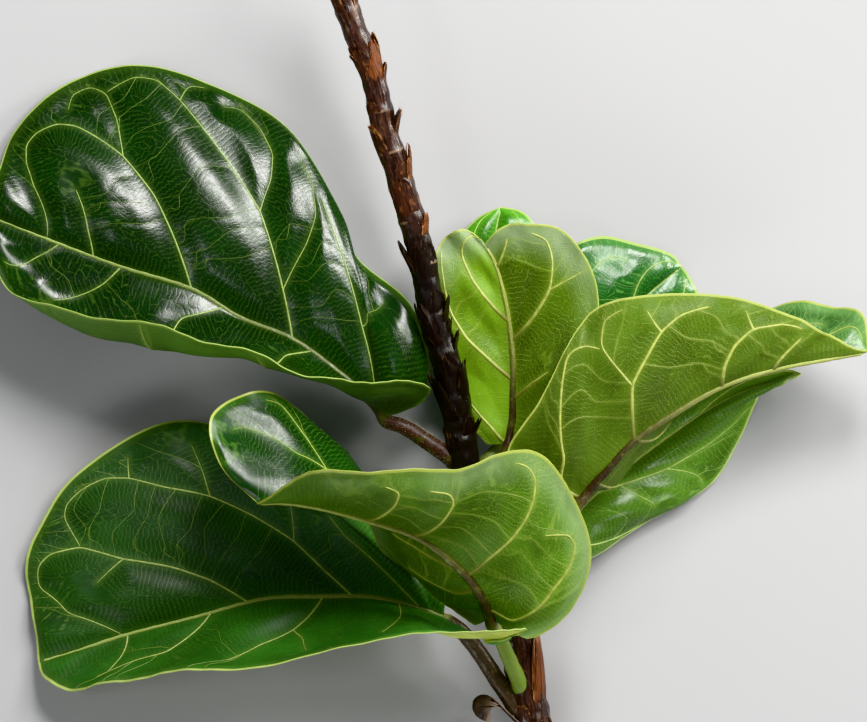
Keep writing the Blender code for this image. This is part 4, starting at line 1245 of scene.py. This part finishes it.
def scale_sheet(shape, path, scale, cell, cells, draw):
    """A stipule scale: a thin papery sheet that hugs the stem, closed round its edge."""
    lengths, widths = SCALE_GRID
    u, side = np.meshgrid(np.linspace(0, 1, lengths), np.linspace(-1, 1, widths), indexing="ij")
    place, normal, loose, reach = scale_surface(path, scale, cell == CURLED, u, side, draw)
    fibres = FIBRE_HEIGHT * np.sin(side * 19 + 2 * np.sin(reach * 6 + scale.foot))
    thin = SCALE_THICKNESS * (1 - SCALE_THINNING * reach) + SCALE_LEAST
    outer = place + normal * (thin / 2 + fibres)[..., None]
    inner = place - normal * (thin / 2)[..., None]
    lip = loose * np.maximum(smooth(abs(side), 0.72, 1.0), smooth(u, 0.85, 1.0))
    # Scales over the stem's middle stretch get a high age value, which lays painted shade on them
    age_and_shade = np.full(u.shape, SCALE_SHADE * (PAINTED_SHADE_REACH[0] < scale.foot < PAINTED_SHADE_REACH[1]) + draw.uniform(0, 0.4))
    age_and_shade = age_and_shade + FOOT_AGE * (scale.foot < PAINTED_SHADE_REACH[0]) + CURL_AGE * (cell == CURLED)
    values = {"reach": reach, "lip": lip, "age_and_shade": age_and_shade}
    values["bake_u"] = (cell % cells + 0.08 + 0.4 * (side + 1) / 2) / cells
    values["bake_v"] = (cell // cells + 0.05 + 0.9 * u) / cells
    shape.sheet(outer, side=side, **values)
    shape.sheet(inner, 0, True, side=side, **values | {"bake_u": values["bake_u"] + 0.45 / cells})
    last, end = lengths - 1, widths - 1
    loop = [(i, 0) for i in range(last)] + [(last, j) for j in range(end)]
    loop += [(i, end) for i in range(last, 0, -1)] + [(0, j) for j in range(end, -1, -1)]
    i, j = np.array(loop).T
    shape.sheet(np.stack([outer[i, j], inner[i, j]]), **{name: value[i, j] for name, value in values.items()})


def small_scales(draw, groups, ranges):
    """Small old scales at seeded places in each group, which runs between two distances from the foot."""
    places, angles, *sizes = ranges
    for low, high, count in groups:
        for i in range(count):
            foot = low + (high - low) * (i + draw.uniform(*places)) / count
            angle = LEAF_TURN * i + draw.uniform(*angles)
            yield Scale(foot, angle, *(draw.uniform(*size) for size in sizes))


def scale_piece(path, materials):
    """All scales, with a few bristles at each tip but the curled one's."""
    draw = random.Random(SEED)
    shape = Shape("reach", "side", "lip", "age_and_shade", "hair")
    stubs = small_scales(random.Random(SEED), STUBS, STUB_RANGES)
    flakes = small_scales(random.Random(SEED + 2), FLAKES, FLAKE_RANGES)
    scales = [*SCALES, *stubs, *flakes]
    cells = math.ceil(math.sqrt(len(scales)))
    for i, scale in enumerate(scales):
        scale_sheet(shape, path, scale, i, cells, draw)
    for scale in scales:
        for _ in range(4):
            distance = scale.foot + scale.length * draw.uniform(0.6, 0.98)
            turn = math.radians(scale.angle + draw.uniform(-25, 25))
            out = path.outward(np.array(distance), np.array(turn))
            *place, radius = path.at(distance)
            root = np.array(place) + out * (radius + scale.flare * 0.7)
            tip = root + path.along(distance) * draw.uniform(1, 4) + out * draw.uniform(-0.2, 1.0)
            if scale != SCALES[CURLED]:
                hair(shape, root, tip, BRISTLE_RADIUS)
    return shape.piece("stem_scales", materials)


class Looks:
    """A material's nodes, and the base colour as it is laid on in layers. A value may be a number, a colour,
    another node's output, or the name of a number that each point of the piece has."""

    def __init__(self, name):
        self.material = bpy.data.materials.new(name)
        self.material.use_nodes = True
        self.tree = self.material.node_tree
        self.tree.nodes.clear()
        self.base = None

    def node(self, kind, inputs, output=0, **settings):
        made = self.tree.nodes.new(kind)
        for key, value in settings.items():
            setattr(made, key, value)
        for key, value in inputs.items():
            socket = made.inputs[key]
            if isinstance(value, str):
                value = self.node("ShaderNodeAttribute", {}, "Fac", attribute_name=value)
            if isinstance(value, bpy.types.NodeSocket):
                self.tree.links.new(value, socket)
            elif isinstance(value, tuple) and socket.type == "RGBA":
                socket.default_value = (*value, 1)
            else:
                socket.default_value = value
        return made.outputs[output] if made.outputs else None

    def maths(self, kind, a, b=0.0):
        return self.node("ShaderNodeMath", {0: a, 1: b}, operation=kind)

    def times(self, a, b):
        return self.maths("MULTIPLY", a, b)

    def plus(self, a, b):
        return self.maths("ADD", a, b)

    def between(self, value, low, high, start=0.0, end=1.0):
        """Eases from start to end as the value goes from low to high."""
        inputs = {"Value": value, "From Min": low, "From Max": high, "To Min": start, "To Max": end}
        return self.node("ShaderNodeMapRange", inputs, interpolation_type="SMOOTHSTEP")

    def mix(self, share, a, b):
        return self.node("ShaderNodeMix", {0: share, 6: a, 7: b}, 2, data_type="RGBA")

    def lay(self, colour, share, *reach):
        """Lays a colour over the base to a share, eased by reach as in between, if there is one."""
        self.base = self.mix(self.between(share, *reach) if reach else share, self.base, colour)

    def brighten(self, value, *reach):
        """Multiplies the base by what the value eases to."""
        shade = self.between(value, *reach)
        self.base = self.scaled(self.base, self.vector(shade, shade, shade))

    def vector(self, x, y, z=0.0):
        return self.node("ShaderNodeCombineXYZ", {0: x, 1: y, 2: z})

    def scaled(self, vector, scale):
        return self.node("ShaderNodeVectorMath", {0: vector, 1: scale}, operation="MULTIPLY")

    def place(self):
        """Where a point is in the object, in metres."""
        return self.node("ShaderNodeTexCoord", {}, "Object")

    def noise(self, vector, scale, detail=3.0, roughness=0.55):
        inputs = {"Vector": vector, "Scale": scale, "Detail": detail, "Roughness": roughness}
        return self.node("ShaderNodeTexNoise", inputs)

    def walls(self, vector, scale):
        """The millimetres to the nearest wall between cells, of which scale is the number to a millimetre."""
        inputs = {"Vector": vector, "Scale": scale, "Randomness": 0.9}
        settings = {"feature": "DISTANCE_TO_EDGE", "voronoi_dimensions": "2D"}
        return self.maths("DIVIDE", self.node("ShaderNodeTexVoronoi", inputs, "Distance", **settings), scale)

    def surface(self, roughness, height=None, depth=0.0, specular=0.5, clear=None, clear_share=0.0):
        """The Principled surface in the base colour, with bumps where there is a height, and with light that
        shines through where clear is its colour."""
        inputs = {"Base Color": self.base, "Roughness": roughness, "Specular IOR Level": specular}
        if height is not None:
            bump = {"Height": height, "Distance": depth, "Strength": 1.0}
            inputs["Normal"] = self.node("ShaderNodeBump", bump)
        shader = self.node("ShaderNodeBsdfPrincipled", inputs)
        if clear is not None:
            through = self.node("ShaderNodeBsdfTranslucent", {"Color": clear})
            shader = self.node("ShaderNodeMixShader", {0: clear_share, 1: shader, 2: through})
        self.node("ShaderNodeOutputMaterial", {"Surface": shader})
        return self.material


def tinted(colour, share):
    return tuple(part * share for part in colour)


def blended(a, b, share):
    return tuple((1 - share) * x + share * y for x, y in zip(a, b))


def net(looks):
    """Rolled-out coordinates, and how many millimetres it is to two nets: a ladder of lines that leave the
    nearest vein squarely, with wide cells where two ladders meet, and fine cells all over."""
    flat = looks.vector("across", "along")
    warp = looks.node("ShaderNodeTexNoise", {"Vector": flat, "Scale": 0.25, "Detail": 2.0}, 1)
    warped = {0: warp, 1: (CELL_BEND, CELL_BEND, 0.0), 2: flat}
    warped = looks.node("ShaderNodeVectorMath", warped, operation="MULTIPLY_ADD")
    sway = looks.times(looks.noise(flat, 0.09, 2.0), LADDER_SWAY)
    lines = looks.maths("PINGPONG", looks.plus("step", sway), LADDER_STEP / 2)
    seam = looks.between("seam", 0.0, 0.6)
    coarse = looks.node("ShaderNodeMix", {0: seam, 2: lines, 3: looks.walls(warped, WIDE_CELLS)}, 0)
    return flat, coarse, looks.walls(warped, FINE_CELLS)


def upper_look(name, look):
    """The glossy upper side: dark cells between paler veins, lighter by the great veins and the margin."""
    looks = Looks(f"{name}_upper")
    flat, coarse_walls, fine_walls = net(looks)
    patches = looks.noise(flat, 0.03)
    mottle = looks.noise(flat, 0.45)
    fine = looks.between(fine_walls, 0.02, 0.15, 1.0, 0.0)
    coarse = looks.between(coarse_walls, 0.05, 0.24, 1.0, 0.0)
    coarse = looks.times(coarse, looks.between(mottle, 0.3, 0.6, 0.35, 1.0))
    pale = blended(tinted(look.top, 2.2), look.vein, 0.17)
    looks.base = looks.mix(looks.between(patches, 0.35, 0.68), tinted(look.top, 0.65), tinted(look.top, 1.3))
    looks.lay(tinted(look.top, 0.5), mottle, 0.4, 0.7, 0.0, 0.4)
    # Painted light and shade: each half of the blade is scaled by its own brightness
    looks.brighten("across", -HALF_REACH, HALF_REACH, *look.halves)
    looks.lay(pale, looks.times(fine, 0.22))
    looks.lay(pale, looks.times(coarse, 0.75))
    looks.lay(pale, "near", 0.1, 0.7, 0.45, 0.0)
    looks.lay(pale, "main", 0.3, 3.0, 0.4, 0.0)
    looks.lay(pale, "edge", 0.4, 5.0, 0.5, 0.0)
    # Painted light and shade at the foot: the colour is scaled towards the blade's foot
    looks.brighten("along", -FOOT_REACH, 0.0, look.foot, 1.0)
    looks.lay(tinted(look.vein, 1.1), "edge", 0.7 * look.rim, 1.2 * look.rim, 1.0, 0.0)
    cells = looks.plus(looks.between(coarse_walls, 0.0, 0.6), looks.between(fine_walls, 0.0, 0.45, 0.0, 0.3))
    height = looks.plus(cells, looks.times(looks.noise(flat, 0.09, 0.0), 14.0))
    rough = looks.between(mottle, 0.35, 0.7, look.gloss, look.gloss + 0.08)
    clear = looks.mix(0.6, looks.base, THROUGH_TOP)
    return looks.surface(rough, height, 0.000014, clear=clear, clear_share=0.18)


def under_look(name, look):
    """The satin underside: paler, with its whole net raised."""
    looks = Looks(f"{name}_under")
    flat, coarse_walls, fine_walls = net(looks)
    patches = looks.noise(flat, 0.025, 4.0, 0.65)
    fine = looks.between(fine_walls, 0.02, 0.2, 1.0, 0.0)
    coarse = looks.between(coarse_walls, 0.05, 0.25, 1.0, 0.0)
    coarse = looks.times(coarse, looks.between(looks.noise(flat, 0.3), 0.3, 0.6, 0.3, 1.0))
    pale = blended(tinted(look.under, 1.6), look.vein, 0.4)
    patched = looks.between(patches, 0.36, 0.66)
    looks.base = looks.mix(patched, tinted(look.under, 0.55), tinted(look.under, 1.2))
    # Painted light and shade: each half of the blade is scaled by its own brightness
    looks.brighten("across", -HALF_REACH, HALF_REACH, *look.halves)
    looks.lay(tinted(look.under, 1.5), "edge", 1.0, 20.0, 0.45, 0.0)
    looks.lay(pale, looks.times(fine, 0.32))
    looks.lay(pale, looks.times(coarse, 0.55))
    looks.lay(pale, "near", 0.2, 1.2, 0.5, 0.0)
    looks.lay(pale, "main", 0.4, 3.0, 0.25, 0.0)
    looks.lay(pale, "edge", 0.4, 4.0, 0.3, 0.0)
    # Painted light and shade at the foot: the colour is scaled towards the blade's foot
    looks.brighten("along", -FOOT_REACH, 0.0, look.foot, 1.0)
    # Painted sheen: a pale band laid into the colour by the margin, standing in for light glancing off the
    # underside
    bloom = looks.times(looks.between("edge", 2.0, 16.0, 1.0, 0.0), looks.between(patches, 0.3, 0.6, 0.4))
    looks.lay(PAINTED_SHEEN, looks.times(bloom, looks.between("along", -15.0, 30.0, *look.bloom)))
    looks.lay(tinted(look.vein, 1.15), "edge", 0.8 * look.rim, 1.4 * look.rim, 1.0, 0.0)
    raised = looks.plus(coarse, looks.times(fine, 0.4))
    height = looks.plus(raised, looks.times(looks.noise(flat, 0.11, 1.0), 5.0))
    rough = looks.between(patches, 0.3, 0.7, 0.34, 0.46)
    clear = looks.mix(0.6, looks.base, THROUGH_UNDER)
    return looks.surface(rough, height, 0.00007, 0.38, clear, 0.32)


def rim_look(name, look):
    looks = Looks(f"{name}_rim")
    looks.base = looks.mix(looks.noise(looks.place(), 300.0), tinted(look.vein, 0.9), tinted(look.vein, 1.35))
    return looks.surface(0.4, clear=tinted(look.vein, 1.3), clear_share=0.25)


def vein_look(name, look, under):
    """Veins are pale, browner where they leave the midrib underneath, and greener as they thin out."""
    looks = Looks(f"{name}_vein_{'under' if under else 'upper'}")
    rough = looks.noise(looks.place(), 420.0)
    looks.base = looks.mix(looks.between(rough, 0.3, 0.7), tinted(look.vein, 0.75), tinted(look.vein, 1.1))
    leaf, share = (look.under, 0.4) if under else (tinted(look.top, 2.0), 0.55)
    looks.lay(blended(leaf, look.vein, share), "fine", 0.2, 0.6)
    if under:
        looks.lay(blended(VEIN_BROWN, look.vein, 0.35), "out", 0.0, 0.8, 0.85 * look.midrib, 0.0)
    return looks.surface(0.42, rough, 0.00008, clear=looks.base, clear_share=0.15)


def rib_look(name, look):
    """The petiole is brown or green; the midrib starts brownish and pales on its way to the tip."""
    looks = Looks(f"{name}_rib")
    streaks = looks.noise(looks.place(), 900.0, 4.0)
    flecks = looks.noise(looks.place(), 260.0, 2.0)
    looks.base = looks.mix(looks.between("part", 0.9, 1.1), PETIOLE_BROWN, VEIN_BROWN)
    looks.lay(tinted(VEIN_BROWN, 0.1), streaks, 0.3, 0.7, 0.7, 0.0)
    brown = looks.base
    looks.base = looks.mix(streaks, tinted(look.vein, 0.6), look.vein)
    looks.lay(PETIOLE_GREEN, "part", 0.8, 1.0, 0.65, 0.0)
    petiole = looks.between("part", 0.9, 1.03, look.petiole, look.midrib)
    browned = looks.times(petiole, looks.between("part", 1.1, 1.85, 1.0, 0.12))
    browned = looks.times(browned, looks.between(flecks, 0.25, 0.5, 0.8, 1.0))
    on_top = looks.times(looks.between("top", 0.3, 0.8), looks.between("part", 1.0, 1.2))
    looks.lay(brown, looks.times(browned, looks.between(on_top, 0.0, 1.0, 1.0, 0.85)))
    looks.lay(HAIR_COLOUR, "hair")
    knobs = looks.times(looks.maths("SINE", looks.times("way", 1.4)), 0.08)
    return looks.surface(looks.between(flecks, 0.3, 0.7, 0.36, 0.55), looks.plus(streaks, knobs), 0.00018)


def bark_look():
    """Smooth dark bark, painted nearly black in the middle as painted shade and lighter above, with streaks,
    warts and pale scars.
    """
    looks = Looks("stem_bark")
    around = (looks.times(looks.maths(wave, "turn"), 5.5) for wave in ("COSINE", "SINE"))
    place = looks.vector(*around, "way")
    fibres = looks.noise(looks.scaled(place, (1.2, 1.2, 0.16)), 1.0, 6.0, 0.65)
    fine = looks.noise(looks.scaled(place, (3.0, 3.0, 1.2)), 1.0, 4.0)
    patches = looks.noise(looks.scaled(place, (0.16, 0.16, 0.06)), 1.0, 4.0)
    warts = {"Vector": looks.scaled(place, (0.5, 0.5, 0.42)), "Scale": 1.0}
    wart = looks.between(looks.node("ShaderNodeTexVoronoi", warts, "Distance"), 0.06, 0.15, 1.0, 0.0)
    # The middle stretch is painted nearly black as painted shade, and made rougher so that it shows no
    # highlights
    low, high = PAINTED_SHADE_REACH
    dark = looks.between("way", low - 20.0, low + 10.0)
    dark = looks.times(dark, looks.between("way", high - 10.0, high + 25.0, 1.0, 0.0))
    looks.base = looks.mix(looks.between(fibres, 0.35, 0.68), BARK_DARK, BARK_LIGHT)
    looks.lay(BARK_FLECK, fine, 0.55, 0.75, 0.0, 0.35)
    looks.lay(BARK_PATCH, patches, 0.58, 0.7, 0.0, 0.45)
    looks.lay(WART, looks.times(wart, 0.35))
    looks.lay(BARK_BLACK, looks.times(dark, 0.93))
    looks.lay(BARK_CRACK, "relief", -0.35, -0.05, 0.8, 0.0)
    scarred = looks.between(looks.noise(place, 0.09, 2.0), 0.5, 0.6, 0.0, 0.55)
    looks.lay(SCAR, looks.times(looks.between("ring", 0.86, 0.99), scarred))
    height = looks.plus(fibres, looks.plus(looks.times(fine, 0.5), wart))
    rough = looks.plus(looks.times(dark, 0.12), looks.between(fibres, 0.3, 0.7, 0.2, 0.34))
    return looks.surface(rough, height, 0.0001, 0.55)


def cut_look():
    """The cut foot: bark, green cambium, pale wood with faint rings, and pith."""
    looks = Looks("stem_cut")
    grain = looks.noise(looks.place(), 900.0, 4.0)
    looks.base = looks.mix(grain, WOOD_DARK, WOOD_LIGHT)
    looks.lay(PITH, "core", 0.2, 0.3, 0.8, 0.0)
    looks.lay(CAMBIUM, "core", 0.78, 0.84)
    looks.lay(RIND, "core", 0.87, 0.91)
    waves = looks.maths("SINE", looks.times("core", 60.0))
    return looks.surface(0.7, looks.plus(grain, looks.times(waves, 0.3)), 0.0003)


def scale_look():
    """Old stipules: dry and papery, dark red brown, painted nearly black as painted shade over the stem's
    middle stretch, with thin bright lips. The oldest, which has curled, is grey."""
    looks = Looks("stem_scale")
    lines = looks.vector(looks.times("side", 9.0), looks.times("reach", 1.6), "age_and_shade")
    lines = looks.noise(lines, 1.0, 5.0, 0.6)
    spots = looks.vector(looks.times("side", 2.0), looks.times("reach", 4.0), "age_and_shade")
    spots = looks.noise(spots, 1.5, 4.0)
    # Mostly the painted shade over the stem's middle stretch, which is laid nearly black below
    old = looks.between("age_and_shade", 0.4, 0.9)
    looks.base = looks.mix(looks.between(lines, 0.42, 0.62), CURL_DARK, CURL_LIGHT)
    looks.lay(CURL_LIP, "lip", 0.5, 1.0, 0.0, 0.8)
    grey = looks.base
    looks.base = looks.mix(looks.between(lines, 0.35, 0.7), SCALE_DARK, SCALE_LIGHT)
    looks.lay(SCALE_SPOT, spots, 0.56, 0.7, 0.0, 0.5)
    young = looks.between("age_and_shade", 0.05, 0.16, 0.8, 0.0)
    looks.lay(SCALE_YOUNG, looks.times(young, looks.between(lines, 0.35, 0.65)))
    looks.lay(SCALE_FOOT, "reach", 0.0, 0.5, 0.8, 0.0)
    looks.lay(SCALE_BLACK, looks.times(old, 0.95))
    looks.lay(grey, "age_and_shade", 1.3, 1.5)
    lip = looks.times(looks.between("lip", 0.45, 1.0), looks.between("age_and_shade", 0.4, 0.9, 0.75, 0.05))
    looks.lay(SCALE_LIP, looks.times(lip, looks.between(spots, 0.42, 0.6, 0.05, 1.0)))
    looks.lay(BRISTLE, "hair")
    rough = looks.plus(looks.times(old, 0.1), looks.between(spots, 0.3, 0.7, 0.28, 0.5))
    clear = looks.mix(old, THROUGH_SCALE, THROUGH_BLACK)
    return looks.surface(rough, lines, 0.00022, 0.3, clear, 0.08)


def hand_over(pieces, node, slot):
    """Says which body each piece rides on and which node it replaces; slot is not used."""
    for piece in pieces:
        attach(piece, "root")
        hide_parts(node)


def add_leaf(name, leaf):
    look = LOOKS[name]
    blade = Blade(leaf)
    veins = find_veins(name, blade, -1) + find_veins(name, blade, 1)
    short = name.removeprefix("leaf_")
    sides = [upper_look(short, look), under_look(short, look), rim_look(short, look)]
    pieces = (
        blade_piece(f"{short}_blade", blade, veins, sides),
        vein_piece(f"{short}_veins", veins, [vein_look(short, look, under) for under in (False, True)]),
        rib_piece(f"{short}_rib", leaf, blade, look.hairs, [rib_look(short, look)]),
    )
    hand_over(pieces, name, look.slot)


def add_stem():
    path = StemPath()
    pieces = (bark_piece(path, [bark_look(), cut_look()]), scale_piece(path, [scale_look()]))
    hand_over(pieces, "stem", "bark")


def add_floor():
    bpy.ops.mesh.primitive_plane_add(size=14)
    floor = bpy.context.object
    floor.name = "floor"
    looks = Looks("floor")
    looks.base = FLOOR_COLOUR
    floor.data.materials.append(looks.surface(0.8))
    floor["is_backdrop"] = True


def add_light(name, place, target, size, watts, colour):
    data = bpy.data.lights.new(name, "AREA")
    data.shape = "RECTANGLE"
    data.size, data.size_y = size
    data.energy = watts
    data.color = colour
    light = bpy.data.objects.new(name, data)
    bpy.context.scene.collection.objects.link(light)
    light.location = place
    light.rotation_euler = (Vector(target) - Vector(place)).to_track_quat("-Z", "Y").to_euler()


def add_camera():
    """The camera looks straight down, from so far that the view hardly narrows."""
    data = bpy.data.cameras.new("camera")
    data.sensor_width = SENSOR
    data.lens = SENSOR * CAMERA_HEIGHT / (PHOTO[0] * PIXEL)
    data.clip_end = 100
    camera = bpy.data.objects.new("camera", data)
    bpy.context.scene.collection.objects.link(camera)
    camera.location = (HOME[0] * MM, HOME[1] * MM, (CAMERA_LEVEL + CAMERA_HEIGHT) * MM)
    bpy.context.scene.camera = camera


def add_world():
    world = bpy.data.worlds.new("studio")
    world.use_nodes = True
    background = world.node_tree.nodes["Background"]
    background.inputs["Color"].default_value = (*SKY_COLOUR, 1)
    background.inputs["Strength"].default_value = SKY_STRENGTH
    bpy.context.scene.world = world


def main():
    add_stem()
    for name, leaf in LEAVES.items():
        add_leaf(name, leaf)
    add_floor()
    add_world()
    for light in LIGHTS:
        add_light(*light)
    bpy.context.scene.view_settings.view_transform = VIEW
    add_camera()


main()
size = {"cad": cad_box, "visual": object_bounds()}
{key: [list(corner) for corner in corners] for key, corners in size.items()}
